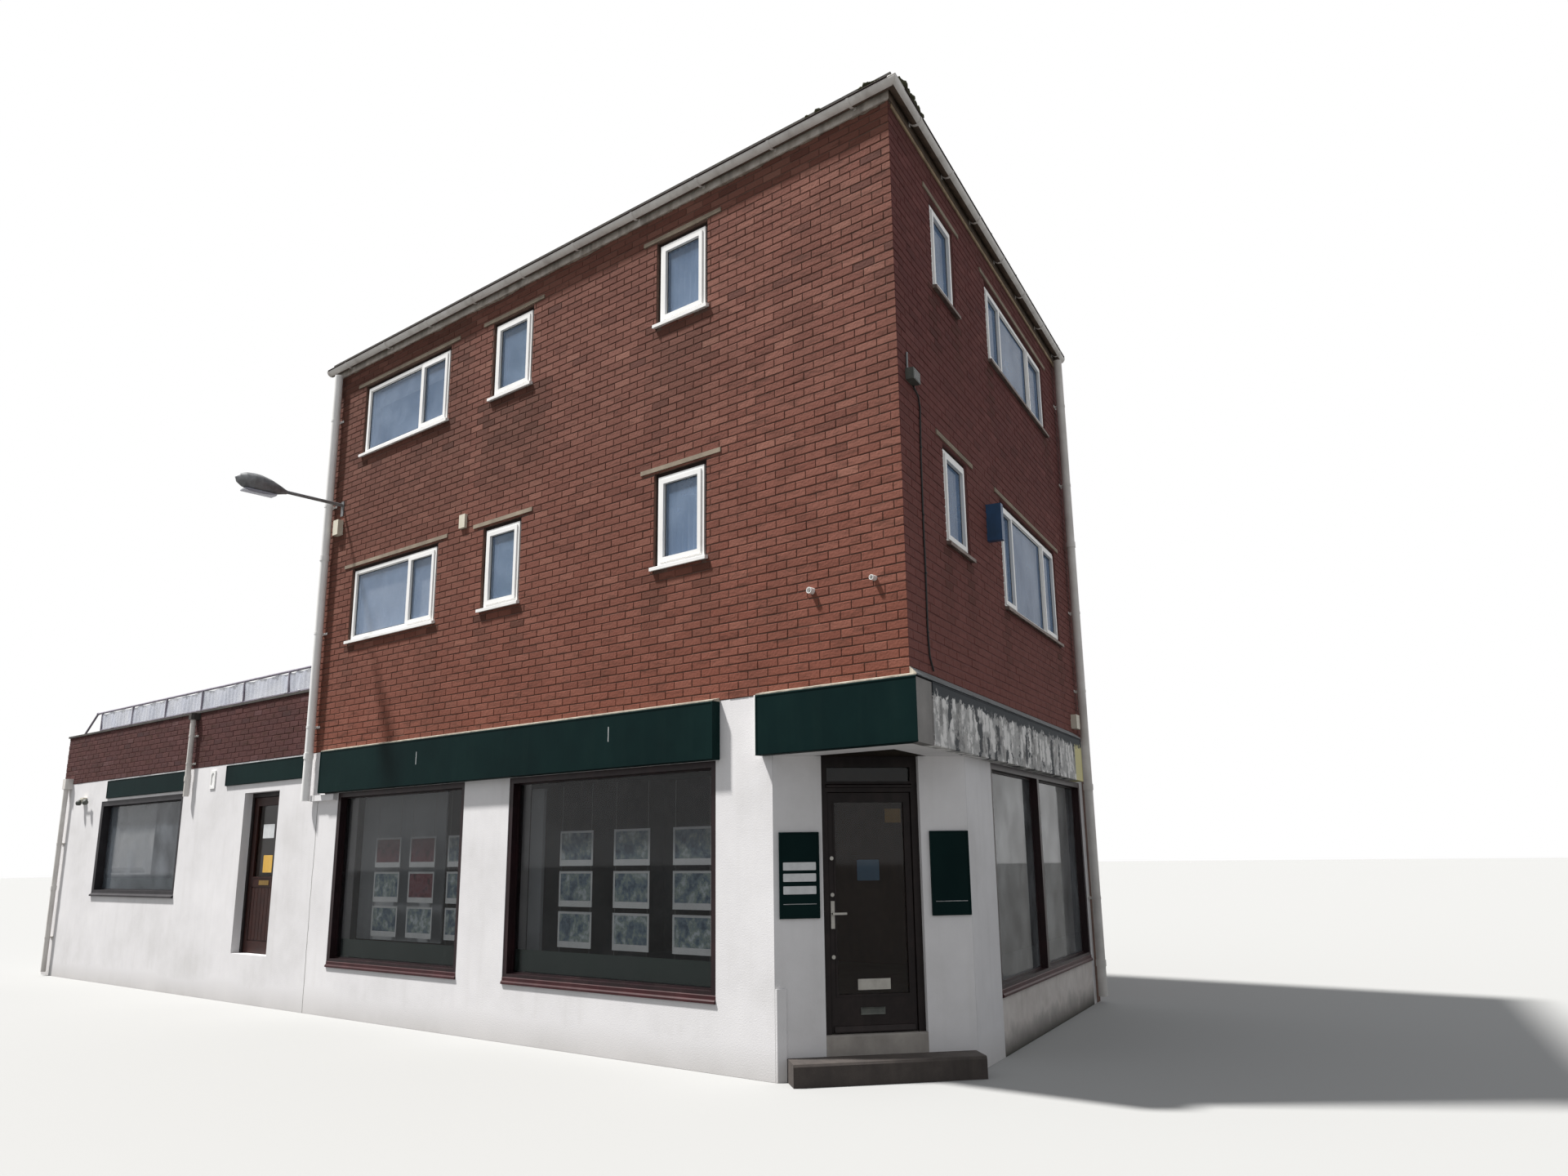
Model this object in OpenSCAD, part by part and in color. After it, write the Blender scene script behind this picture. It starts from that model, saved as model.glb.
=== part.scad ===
// Corner shop: a flat-roofed block of two brick storeys over a shop, with a splayed corner entrance
// and a single-storey extension at its left end. All sizes are in millimetres.
// The corner arris of the brickwork stands at [0, 0] while the walls are drawn.
// The left street face runs along -X from it, the right street face leaves it at corner_turn.

/* [Plan] */
// length of the left street face of the main block
left_len = 9120; // [7000:10:11000]
// length of the right street face of the main block
right_len = 6380; // [5000:10:8000]
// direction of the right face, measured from the left face's own direction
corner_turn = 104; // [90:1:120]
// length of the extension along the left street
ext_len = 8230; // [5000:10:10000]
// thickness of the outer walls
wall_t = 280; // [200:5:400]
// thickness of the wall shared with the neighbour
party_t = 200; // [150:5:300]
// where the splayed entrance leaves the left face, from the arris
splay_left = 1400; // [1000:10:2000]
// where the splayed entrance meets the right face, from the arris
splay_right = 1330; // [1000:10:2000]
// place of the arris in the object's frame, along X
arris_x = 8600; // [0:10:10000]
// place of the left face in the object's frame, along Y
arris_y = -3000; // [-5000:10:0]
// gap left between solids that meet on a slanting line
seam = 1; // [0.5:0.5:3]

/* [Levels] */
// top of the shop floor
floor_z = 300; // [100:10:500]
// underside of the beams over the shop windows and of the entrance soffit
soffit_z = 2560; // [2300:10:2800]
// level at which the brickwork starts
brick_z = 3080; // [2900:10:3300]
// top of the brickwork
wall_top = 8170; // [7800:10:8600]
// level of the floor between the two brick storeys
second_z = 5600; // [5400:10:5900]
// thickness of the floors of the two upper storeys
slab_t = 200; // [120:10:300]
// thickness of the roof deck
deck_t = 160; // [100:10:250]
// thickness of the roofing felt
felt_t = 30; // [10:5:50]
// top of the extension's floor
ext_floor_z = 570; // [300:10:900]
// top of the extension's parapet
parapet_z = 3880; // [3500:10:4200]

/* [Upper windows] */
// head of the lower row of windows
low_head = 5375; // [5000:5:5500]
// foot of the lower row of windows
low_foot = 4440; // [4200:10:4800]
// head of the upper row of windows
top_head = 7850; // [7500:10:8000]
// foot of the upper row of windows
top_foot = 6920; // [6600:10:7300]
// foot of the lower three-light window on the right face
low_foot_wide = 4205; // [4000:5:4600]
// how far the frames stand back from the brick face
win_back = 10; // [5:5:120]
// gap round the sides and head of each frame, closed by a recessed dark strip
win_gap = 45; // [10:5:60]
// depth of the window frames
win_deep = 70; // [50:5:100]
// width of the window frames seen from the street
win_bar = 42; // [30:2:80]
// width of the sashes of the opening lights
sash = 44; // [30:2:70]
// how far the opening sashes stand in front of their frame
sash_out = 12; // [5:1:20]
// width of the beads that hold the fixed panes
bead = 14; // [8:1:25]
// how far the sills stand out
sill_out = 50; // [20:2:100]
// height of the sills at their nose
sill_h = 34; // [24:2:60]
// how far the lintels stand out
lintel_out = 16; // [6:1:40]
// height of the lintel faces
lintel_h = 48; // [30:2:150]
// how far the lintels run past the openings at each side
lintel_past = 185; // [50:5:250]

/* [Shop windows] */
// sill level of the shop windows on the left face
shop_foot = 540; // [300:10:900]
// sill level of the shop window on the right face
shop_foot_r = 490; // [300:10:900]
// how far the shop frames stand back from the wall face
shop_back = 6; // [2:2:60]
// depth of the shop frames
shop_deep = 134; // [100:2:160]
// how far the shop panes stand behind the front of their frames
pane_back = 80; // [40:5:100]
// width of the shop frames
shop_bar = 58; // [40:2:90]
// half the width of the post in the right shop window
post_half = 40; // [25:5:60]
// height of the bottom rail of the shop frames
shop_rail = 100; // [60:5:200]
// right edge of the right shop window, from the arris
right_shop_end = 6030; // [5800:10:6100]
// thickness of the glass
glass_t = 12; // [6:1:20]

/* [Corner door] */
// start of the door opening along the splay
door_from = 415; // [300:5:600]
// end of the door opening along the splay
door_to = 1265; // [1100:5:1400]
// width of the frame posts of both doors
jamb = 60; // [40:5:80]
// top of the threshold stone
sill_z = 330; // [300:10:400]
// underside of the transom
transom_z = 2260; // [2100:10:2400]
// height of the transom
transom_h = 90; // [50:5:120]
// depth of the head piece over the fanlight
head_h = 92; // [50:2:120]
// how far the corner door's leaf stands back from the wall face
leaf_back = 80; // [60:5:120]
// thickness of the leaves
leaf_t = 45; // [40:1:60]
// gap around the leaves
leaf_gap = 6; // [5:1:10]
// width of the stiles of the corner door
stile = 58; // [50:2:120]
// height of the bottom rail of the corner door
kick_h = 300; // [150:10:400]
// height of the top rail of the corner door
top_rail = 80; // [50:5:150]
// width of the mouldings that hold its glass
mould = 16; // [10:1:25]

/* [Side door] */
// left edge of the side door's opening, from the arris
side_from = 10740; // [10000:10:12000]
// right edge of the side door's opening, from the arris
side_to = 9790; // [9000:10:10500]
// head of the side door's opening
side_head = 2660; // [2500:10:2760]
// how far the side door's leaf stands back from the wall face
side_back = 130; // [80:5:180]
// top of its boarded lower panel over its foot
side_panel = 830; // [500:10:1200]
// spacing of the grooves between its boards
board = 92; // [60:2:150]

/* [Extension window] */
// left edge of the extension's window, from the arris
ext_win_from = 15640; // [15000:10:16500]
// right edge of the extension's window, from the arris
ext_win_to = 12640; // [12000:10:14000]
// sill level of the extension's window
ext_win_foot = 1270; // [900:10:1600]
// head of the extension's window
ext_win_head = 2740; // [2600:10:2760]
// how far its pane stands behind the front of its frame
ext_pane_back = 116; // [60:2:140]

/* [Signs] */
// how far the signs over the shop stand out from the wall
sign_out = 100; // [60:5:150]
// underside of the signs over the shop
sign_low = 2562; // [2500:2:2600]
// height of the signs over the shop
sign_h = 508; // [400:2:600]
// width of the folded edge round a sign
fold = 14; // [6:1:30]
// thickness of the extension's signs and of the plates beside the entrance
plate_t = 25; // [10:5:60]

/* [Rainwater goods] */
// outer diameter of the half-round gutters
gutter_d = 118; // [90:2:160]
// underside of the gutters
gutter_z = 8195; // [8100:5:8300]
// wall thickness of the gutters
gutter_t = 5; // [3:1:10]
// thickness of the fascia boards behind the gutters
fascia_t = 25; // [18:1:35]
// outer diameter of the downpipes of the main block
pipe_d = 105; // [75:5:115]
// outer diameter of the downpipes of the extension
small_pipe_d = 76; // [60:2:100]
// clear space between the downpipes and the wall
pipe_gap = 33; // [10:1:50]

/* [Roof railing] */
// height of the top rail over the parapet
rail_h = 370; // [200:10:1100]
// diameter of the posts and of the top rail
rail_d = 34; // [25:1:50]
// how far the railing stands behind the parapet's face
rail_back = 110; // [50:5:180]

/* [Wall lamp] */
// place of the lamp along the left face, from the arris
lamp_x = 8740; // [8000:10:9000]
// height of the lamp's arm over the ground
arm_z = 6290; // [6000:10:6800]
// length of the arm up to the lantern
arm_len = 770; // [300:10:1200]
// length of the lantern
lantern_len = 660; // [400:10:900]
// largest width of the lantern
lantern_d = 230; // [150:5:320]

/* [Hidden] */
// facets of round things
$fn = 24;
// inner and outer plan corners at the arris move this much along the face for each millimetre of offset
k_arris = tan(corner_turn / 2);
// far ends of the splay in plan
splay_a = [-splay_left, 0];
splay_b = splay_right * [cos(corner_turn), sin(corner_turn)];
splay_len = norm(splay_b - splay_a);
splay_turn = atan2(splay_b.y - splay_a.y, splay_b.x - splay_a.x);
// mitre factors at both ends of the splay
k_a = tan(splay_turn / 2);
k_b = tan((corner_turn - splay_turn) / 2);
// depth of the main block square to the left face, and the party wall's inner face
depth = right_len * sin(corner_turn);
party_in = depth - party_t;
ext_end = left_len + ext_len;
roof_z = wall_top + deck_t;
deck_low = brick_z - slab_t + 100;
// back planes of the two leaves
leaf_in = leaf_back + leaf_t;
side_in = side_back + leaf_t;
// the hinge pins stand this much behind the leaf's inner face
pin_back = 8;
door_lo = door_from + jamb + leaf_gap;
door_hi = door_to - jamb - leaf_gap;
door_foot = sill_z + leaf_gap;
door_head = transom_z - leaf_gap;
side_lo = -side_from + jamb + leaf_gap - 10;
side_hi = -side_to - jamb - leaf_gap + 10;
side_foot = ext_floor_z + 30 + leaf_gap;
side_top = side_head - 60 - leaf_gap;
glass_foot = sill_z + kick_h;
gutter_r = gutter_d / 2;
gutter_y = -fascia_t - 2 - gutter_r;
// windows as [from, to, foot, head, mullion places, which lights open], measured along their own face
left_windows = [
  [-8375, -6498, low_foot, low_head, [-7110], [0, 1]],
  [-5619, -4935, low_foot, low_head, [], [1]],
  [-2866, -2165, low_foot, low_head, [], [1]],
  [-8360, -6450, top_foot - 15, top_head, [-7080], [0, 1]],
  [-5602, -4858, top_foot, top_head, [], [1]],
  [-2869, -2158, top_foot + 30, top_head, [], [1]]];
right_windows = [
  [1109, 1835, low_foot, low_head - 15, [], [1]],
  [2990, 5465, low_foot_wide, low_head - 15, [3500, 4830], [1, 0, 1]],
  [1050, 1756, top_foot - 30, top_head - 60, [], [1]],
  [2884, 5452, top_foot - 30, top_head - 40, [3486, 4700], [1, 0, 1]]];
west_windows = [
  [1100, 2940, low_foot, low_head, [2360], [0, 1]],
  [4200, 4830, low_foot, low_head, [], [1]],
  [1100, 2940, top_foot, top_head, [2360], [0, 1]],
  [4200, 4830, top_foot, top_head, [], [1]]];

// every face has its own frame: x along the face, y into the building, z up
module on_right() { rotate(corner_turn) children(); }
module on_splay() { translate([splay_a.x, splay_a.y, 0]) rotate(splay_turn) children(); }
module on_west() { translate([-left_len, depth, 0]) rotate(-90) children(); }
module bar(x0, x1, y0, y1, z0, z1) { translate([x0, y0, z0]) cube([x1 - x0, y1 - y0, z1 - z0]); }
module plan(z0, z1, pts) { translate([0, 0, z0]) linear_extrude(z1 - z0) polygon(pts); }
// a moulding with its section given as [y, z] points, run along a face from x0 to x1
module run(x0, x1, section) {
  translate([x0, 0, 0]) rotate([90, 0, 90]) linear_extrude(x1 - x0) polygon(section);
}

// plan corner at the arris, o millimetres outside both faces
function arris(o) = [k_arris * o, -o];
function right_at(s, o) = [
  cos(corner_turn) * s + sin(corner_turn) * o,
  sin(corner_turn) * s - cos(corner_turn) * o];
// along the right face, where its line t millimetres inside the wall face meets the world's y
function stop_at(y, t) = (y - cos(corner_turn) * t) / sin(corner_turn);
// where the right face's line at offset o meets the world's y
function right_meets(y, o) = right_at(stop_at(y, -o), o);
function block(o_street, o_west, o_rear) = [
  [-left_len - o_west, -o_street], arris(o_street), right_meets(depth + o_rear, o_street),
  [-left_len - o_west, depth + o_rear]];
// inside of the outer walls, with a seam all round
function rooms() = [
  [-left_len + wall_t, wall_t], arris(-wall_t - seam) - [seam, 0],
  right_meets(party_in, -wall_t - seam), [-left_len + wall_t, party_in]];

// floors and roof
module shop_floor() {
  color("#8d8a85")
    plan(0, floor_z, [
      [-left_len + wall_t, wall_t], [-splay_left - k_a * wall_t - 2 * seam, wall_t],
      right_at(splay_right + k_b * wall_t + seam, -wall_t - seam), right_meets(party_in, -wall_t - seam),
      [-left_len + wall_t, party_in]]);
}
module upper_floors() {
  color("#b9b4aa") {
    plan(deck_low, deck_low + slab_t, rooms());
    plan(second_z - slab_t / 2, second_z + slab_t / 2, rooms());
  }
}
module roof_deck() { color("#8b8379") plan(wall_top, roof_z, block(0, 0, 0)); }
module roof_felt() { color("#33322f") plan(roof_z, roof_z + felt_t, block(70, 30, 12)); }

// shopfront
module shop_piers() {
  color("#e4e2df") {
    bar(-left_len, -8330, 0, wall_t, 0, soffit_z);
    bar(-5740, -4960, 0, wall_t, 0, soffit_z);
    plan(0, soffit_z, [
      [-2050, 0], [-splay_left - seam, 0], [-splay_left - k_a * wall_t - seam, wall_t], [-2050, wall_t]]);
    on_right() {
      plan(0, soffit_z - seam, [
        [splay_right + seam, 0], [2130, 0], [2130, wall_t], [splay_right + k_b * wall_t + seam, wall_t]]);
      plan(0, soffit_z - seam, [
        [right_shop_end, 0], [stop_at(party_in - seam, 0), 0],
        [stop_at(party_in - seam, wall_t), wall_t], [right_shop_end, wall_t]]);
    }
  }
}
// the left pier has a plinth that stands a little in front of it
module entrance_piers() {
  color("#dedcd9") on_splay() {
    plan(0, soffit_z - seam, [
      [seam, 0], [door_from, 0], [door_from, wall_t], [k_a * wall_t + seam, wall_t]]);
    plan(0, 700, [[14, -14], [90, -14], [90, 5], [seam + 4, 5], [seam, 0]]);
    plan(0, soffit_z - seam, [
      [door_to, 0], [splay_len - seam, 0], [splay_len - k_b * wall_t - seam, wall_t], [door_to, wall_t]]);
  }
}
module stall_risers() {
  color("#dddbd8") {
    bar(-8330, -5740, 0, wall_t, 0, shop_foot);
    bar(-4960, -2050, 0, wall_t, 0, shop_foot);
    on_right() bar(2130, right_shop_end, 0, wall_t, 0, shop_foot_r);
  }
}
module left_beam() {
  color("#dddbd8")
    plan(soffit_z, brick_z, [[-left_len, 0], [-seam, 0], arris(-wall_t) - [seam, 0], [-left_len, wall_t]]);
}
module right_beam() {
  color("#dddbd8") on_right()
    plan(soffit_z, brick_z, [[seam, 0], [stop_at(party_in - seam, 0), 0],
      [stop_at(party_in - seam, wall_t), wall_t], [k_arris * wall_t + seam, wall_t]]);
}
// underside of the corner behind the two beams
module corner_soffit() {
  color("#e0dedb")
    plan(soffit_z, soffit_z + 100, [
      arris(-wall_t - seam) - [seam, 0], right_at(splay_right + k_b * wall_t, -wall_t - seam),
      [-splay_left - k_a * wall_t, wall_t]]);
}

// upper walls, each a slab with its windows cut through
module cut_windows(list) {
  for (w = list)
    bar(w[0], w[1], -50, wall_t + 50, w[2] - sill_h, w[3]);
}
module left_wall() {
  color("#7a4f43") difference() {
    plan(brick_z, wall_top, [[-left_len, 0], [-seam, 0], arris(-wall_t) - [seam, 0], [-left_len, wall_t]]);
    cut_windows(left_windows);
  }
}
module right_wall() {
  color("#5d3c34") on_right() difference() {
    plan(brick_z, wall_top - seam, [[seam, 0], [stop_at(party_in - seam, 0), 0],
      [stop_at(party_in - seam, wall_t), wall_t], [k_arris * wall_t + seam, wall_t]]);
    cut_windows(right_windows);
  }
}
module west_wall() {
  color("#6e463c") difference() {
    bar(-left_len, -left_len + wall_t, wall_t, party_in, 0, wall_top);
    on_west() cut_windows(west_windows);
  }
}
module party_wall() {
  color("#6e463c")
    plan(0, wall_top, [
      [-left_len, party_in], right_meets(party_in, 0), right_meets(depth, 0), [-left_len, depth]]);
}

// lintel faces: a thin nib of concrete that throws off the rain
module lintel_row(list) {
  for (w = list)
    run(w[0] - lintel_past, w[1] + lintel_past, [
      [0, w[3] + 18], [-lintel_out, w[3] + 18], [-lintel_out, w[3] + 14 + lintel_h],
      [0, w[3] + 22 + lintel_h]]);
}
module lintels() {
  color("#8e857c") {
    lintel_row(left_windows);
    on_right() lintel_row(right_windows);
    on_west() lintel_row(west_windows);
  }
}
// sills: a weathered top that falls to the nose, a drip groove under it, and horns past the opening
module sill_row(list) {
  for (w = list) {
    run(w[0] - 12, w[1] + 22, [
      [0, w[2] - 4], [-sill_out + 3, w[2] - 12], [-sill_out, w[2] - 15], [-sill_out, w[2] - sill_h - 12],
      [-sill_out + 12, w[2] - sill_h - 12], [-sill_out + 12, w[2] - sill_h - 4],
      [-sill_out + 20, w[2] - sill_h - 4], [-sill_out + 20, w[2] - sill_h - 12], [0, w[2] - sill_h - 2]]);
    run(w[0] + seam, w[1] - seam, [
      [-8, w[2] - 5], [-8, w[2] - sill_h + seam], [win_back + win_deep, w[2] - sill_h + seam],
      [win_back + win_deep, w[2]], [win_back, w[2]], [0, w[2] - 4]]);
  }
}
module sills() {
  color("#e9e8e6") {
    sill_row(left_windows);
    on_right() sill_row(right_windows);
    on_west() sill_row(west_windows);
  }
}

// a flat ring of bars round an opening
module ring(x0, x1, y0, y1, z0, z1, w, foot) {
  difference() {
    bar(x0, x1, y0, y1, z0, z1);
    bar(x0 + w, x1 - w, y0 - 10, y1 + 10, z0 + foot, z1 - w);
  }
}
// edges of the lights of a window, from its jambs and mullions
function edges(w, half) =
  concat([w[0] + win_gap + win_bar - half], w[4], [w[1] - win_gap - win_bar + half]);
// a white window: outer frame, mullions, sashes that stand forward, and beads set back round fixed panes
module window(w) {
  half = win_bar / 2;
  e = edges(w, half);
  top = w[3] - win_gap;
  ring(w[0] + win_gap, w[1] - win_gap, win_back, win_back + win_deep, w[2], top, win_bar, win_bar);
  for (m = w[4])
    bar(m - half, m + half, win_back, win_back + win_deep, w[2] + 10, top - 10);
  for (i = [0:len(e) - 2])
    if (w[5][i] == 1)
      ring(e[i] + half - 8, e[i + 1] - half + 8, win_back - sash_out, win_back + 48,
        w[2] + win_bar - 8, top - win_bar + 8, sash, sash);
    else
      ring(e[i] + half - 2, e[i + 1] - half + 2, win_back + 14, win_back + 52,
        w[2] + win_bar - 2, top - win_bar + 2, bead, bead);
}
// the strip that closes the gap at its sides and head
module gap_strip(w) {
  difference() {
    bar(w[0] + seam, w[1] - seam, win_back + 20, win_back + win_deep, w[2], w[3] - seam);
    bar(w[0] + win_gap - seam, w[1] - win_gap + seam, 0, wall_t, w[2] - 10, w[3] - win_gap + seam);
  }
}
// its panes, let into the sashes and beads
module panes(w) {
  half = win_bar / 2;
  e = edges(w, half);
  for (i = [0:len(e) - 2]) {
    in = w[5][i] == 1 ? sash - 8 : bead - 2;
    bar(e[i] + half + in, e[i + 1] - half - in, win_back + 24, win_back + 24 + glass_t,
      w[2] + win_bar + in, w[3] - win_gap - win_bar - in);
  }
}
module upper_frames() {
  color("#f0f0ee") {
    for (w = left_windows) window(w);
    on_right() for (w = right_windows) window(w);
    on_west() for (w = west_windows) window(w);
  }
}
module frame_strips() {
  color("#2c2523") {
    for (w = left_windows) gap_strip(w);
    on_right() for (w = right_windows) gap_strip(w);
    on_west() for (w = west_windows) gap_strip(w);
  }
}
module upper_glass() {
  color("#7d93a5") {
    for (w = left_windows) panes(w);
    on_right() for (w = right_windows) panes(w);
    on_west() for (w = west_windows) panes(w);
  }
}

// shop windows: a stepped frame with a moulded sill, and one large pane for each bay
module shop_frame(x0, x1, foot, posts) {
  ring(x0 + seam, x1 - seam, shop_back, shop_back + shop_deep, foot, soffit_z - seam, shop_bar, shop_rail);
  for (m = posts)
    bar(m - post_half, m + post_half, shop_back, shop_back + shop_deep, foot + 20, soffit_z - 20);
  run(x0 + seam, x1 - seam, [
    [shop_back, foot], [shop_back - 24, foot + 4], [shop_back - 24, foot + 22], [shop_back - 14, foot + 34],
    [shop_back - 8, foot + 36], [shop_back - 8, foot + 64], [shop_back, foot + 70]]);
}
function bays(x0, x1, posts) =
  concat([x0 + shop_bar - post_half], posts, [x1 - shop_bar + post_half]);
module shop_beads(x0, x1, foot, posts) {
  e = bays(x0, x1, posts);
  front = shop_back + pane_back - 14;
  for (i = [0:len(e) - 2])
    ring(e[i] + post_half - 2, e[i + 1] - post_half + 2, front, front + 44,
      foot + shop_rail - 2, soffit_z - shop_bar + 2, 16, 16);
}
module shop_panes(x0, x1, foot, posts) {
  e = bays(x0, x1, posts);
  front = shop_back + pane_back;
  for (i = [0:len(e) - 2])
    bar(e[i] + post_half + 14, e[i + 1] - post_half - 14, front, front + glass_t,
      foot + shop_rail + 14, soffit_z - shop_bar - 14);
}
module shop_frames() {
  color("#3b2326") {
    union() {
      shop_frame(-8330, -5740, shop_foot, []);
      shop_beads(-8330, -5740, shop_foot, []);
    }
    union() {
      shop_frame(-4960, -2050, shop_foot, []);
      shop_beads(-4960, -2050, shop_foot, []);
    }
    on_right() {
      shop_frame(2130, right_shop_end, shop_foot_r, [3950]);
      shop_beads(2130, right_shop_end, shop_foot_r, [3950]);
    }
  }
}
// the fixed glass of the ground floor, with the fanlight over the corner door
module ground_glass() {
  color("#5b6770") {
    shop_panes(-8330, -5740, shop_foot, []);
    shop_panes(-4960, -2050, shop_foot, []);
    on_right() shop_panes(2130, right_shop_end, shop_foot_r, [3950]);
    on_splay()
      bar(door_from + jamb, door_to - jamb, leaf_back + 10, leaf_back + 10 + glass_t,
        transom_z + transom_h, soffit_z - head_h);
    ext_pane();
    translate([0, depth, 0]) mirror([0, 1, 0]) ext_pane();
  }
}

// corner entrance
module door_frame() {
  color("#2f1e1e") on_splay() {
    difference() {
      bar(door_from + seam, door_to - seam, leaf_back - 20, leaf_in, sill_z, soffit_z - seam);
      bar(door_from + jamb, door_to - jamb, 0, wall_t, sill_z - 10, transom_z);
      bar(door_from + jamb, door_to - jamb, 0, wall_t, transom_z + transom_h, soffit_z - head_h);
    }
    run(door_from + jamb - 10, door_to - jamb + 10, [
      [leaf_back - 18, transom_z + transom_h - 20], [leaf_back - 46, transom_z + transom_h - 34],
      [leaf_back - 46, transom_z + transom_h - 52], [leaf_back - 18, transom_z + transom_h - 56]]);
  }
}
module entrance_step() {
  color("#4b4844") on_splay() {
    run(94, splay_len - 20, [[-seam, 0], [-260, 0], [-260, 150], [-250, 168], [-232, 172], [-seam, 176]]);
    run(door_from + seam, door_to - seam, [
      [0, 0], [0, sill_z - 10], [10, sill_z], [wall_t - seam, sill_z], [wall_t - seam, 0]]);
  }
}
module door_leaf() {
  color("#2f1e1e") on_splay() difference() {
    union() {
      bar(door_lo, door_hi, leaf_back, leaf_in, door_foot, door_head);
      bar(door_lo + stile - mould, door_hi - stile + mould, leaf_back - 6, leaf_back + 10,
        glass_foot - mould, door_head - top_rail + mould);
      run(door_lo + 20, door_hi - 20, [
        [leaf_back + 5, door_foot + 6], [leaf_back - 26, door_foot + 6], [leaf_back - 26, door_foot + 16],
        [leaf_back - 10, door_foot + 52], [leaf_back + 5, door_foot + 58]]);
    }
    bar(door_lo + stile, door_hi - stile, 0, wall_t, glass_foot, door_head - top_rail);
    bar(722, 930, leaf_back - 20, leaf_back + 12, 484, 520);
  }
}
module door_glass() {
  color("#59646b") on_splay()
    bar(door_lo + stile, door_hi - stile, leaf_back + 14, leaf_back + 14 + glass_t,
      glass_foot, door_head - top_rail);
}
// lever handle on its plate, two cylinder locks, a plate on the glass, and the hinge barrels inside
module door_furniture() {
  color("#b8b6b0") on_splay() {
    bar(door_lo + 9, door_lo + 41, leaf_back - 8, leaf_back, 1150, 1370);
    translate([door_lo + 25, leaf_back - 8, 1270]) rotate([90, 0, 0]) cylinder(h = 38, d = 18);
    bar(door_lo + 16, door_lo + 135, leaf_back - 56, leaf_back - 44, 1261, 1279);
    for (z = [926, 1420, 1715])
      translate([door_lo + 25, leaf_back, z]) rotate([90, 0, 0]) cylinder(h = 9, d = 32);
    bar(708, 984, leaf_back + 8, leaf_back + 14, 662, 748);
    for (z = [480, 1250, 1990])
      translate([door_hi + 3, leaf_in + pin_back, z]) cylinder(h = 100, d = 2 * pin_back);
  }
}

// side door in the extension, glazed over a boarded panel
module side_frame() {
  color("#3a2a26") difference() {
    bar(-side_from + seam, -side_to - seam, side_back - 20, side_in, ext_floor_z + 30, side_head);
    bar(-side_from + jamb - 10, -side_to - jamb + 10, 0, wall_t, ext_floor_z, side_head - 60);
  }
}
module side_leaf() {
  low = side_foot + side_panel;
  color("#5a2f22") difference() {
    union() {
      bar(side_lo, side_hi, side_back, side_in, side_foot, side_top);
      ring(side_lo + 90, side_hi - 90, side_back - 6, side_back + 10, low + 110, side_top - 90, 20, 20);
    }
    bar(side_lo + 110, side_hi - 110, 0, wall_t, low + 130, side_top - 110);
    ring(side_lo + 95, side_hi - 95, side_back - 10, side_back + 10, side_foot + 150, low, 14, 14);
    for (x = [side_lo + 95 + board:board:side_hi - 95 - board / 2])
      bar(x - 4, x + 4, side_back - 10, side_back + 7, side_foot + 155, low - 5);
  }
}
module side_glass() {
  color("#59646b")
    bar(side_lo + 110, side_hi - 110, side_back + 16, side_back + 16 + glass_t,
      side_foot + side_panel + 130, side_top - 110);
}
module side_furniture() {
  mid = (side_lo + side_hi) / 2;
  color("#b8b6b0") {
    bar(mid - 130, mid + 130, side_back - 6, side_back, 1460, 1520);
    translate([side_hi - 55, side_back, 1500]) rotate([90, 0, 0]) cylinder(h = 45, d = 50);
    for (z = [760, 1560, 2340])
      translate([side_lo - 3, side_in + pin_back, z]) cylinder(h = 100, d = 2 * pin_back);
  }
}

// extension
module ext_floor() {
  color("#8d8a85")
    bar(-ext_end + wall_t, -left_len, wall_t, depth - wall_t, ext_floor_z - 150, ext_floor_z);
}
module ext_roof() {
  color("#3a3936") bar(-ext_end + wall_t, -left_len, wall_t, depth - wall_t, brick_z, brick_z + slab_t);
}
module ext_piers() {
  color("#e4e2df") {
    bar(-ext_end, -ext_win_from, 0, wall_t, 0, ext_win_head);
    bar(-ext_win_to, -side_from, 0, wall_t, 0, ext_win_head);
    bar(-side_to, -left_len, 0, wall_t, 0, ext_win_head);
  }
}
module ext_risers() {
  color("#dddbd8") {
    bar(-ext_win_from, -ext_win_to, 0, wall_t, 0, ext_win_foot);
    bar(-side_from, -side_to, 0, wall_t, 0, ext_floor_z + 30);
    bar(-side_from, -side_to, 0, wall_t, side_head, ext_win_head);
  }
}
module ext_beam() { color("#e4e2df") bar(-ext_end, -left_len, 0, wall_t, ext_win_head, brick_z); }
module ext_parapet() { color("#6e463c") bar(-ext_end, -left_len, 0, wall_t - 60, brick_z, parapet_z); }
module ext_end_wall() {
  color("#e4e2df") bar(-ext_end, -ext_end + wall_t, wall_t, depth - wall_t, 0, parapet_z);
}
module ext_rear_wall() {
  color("#e4e2df") difference() {
    bar(-ext_end, -left_len, depth - wall_t, depth, 0, parapet_z);
    bar(-ext_win_from, -ext_win_to, depth - wall_t - 50, depth + 50, ext_win_foot, ext_win_head);
  }
}
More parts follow.
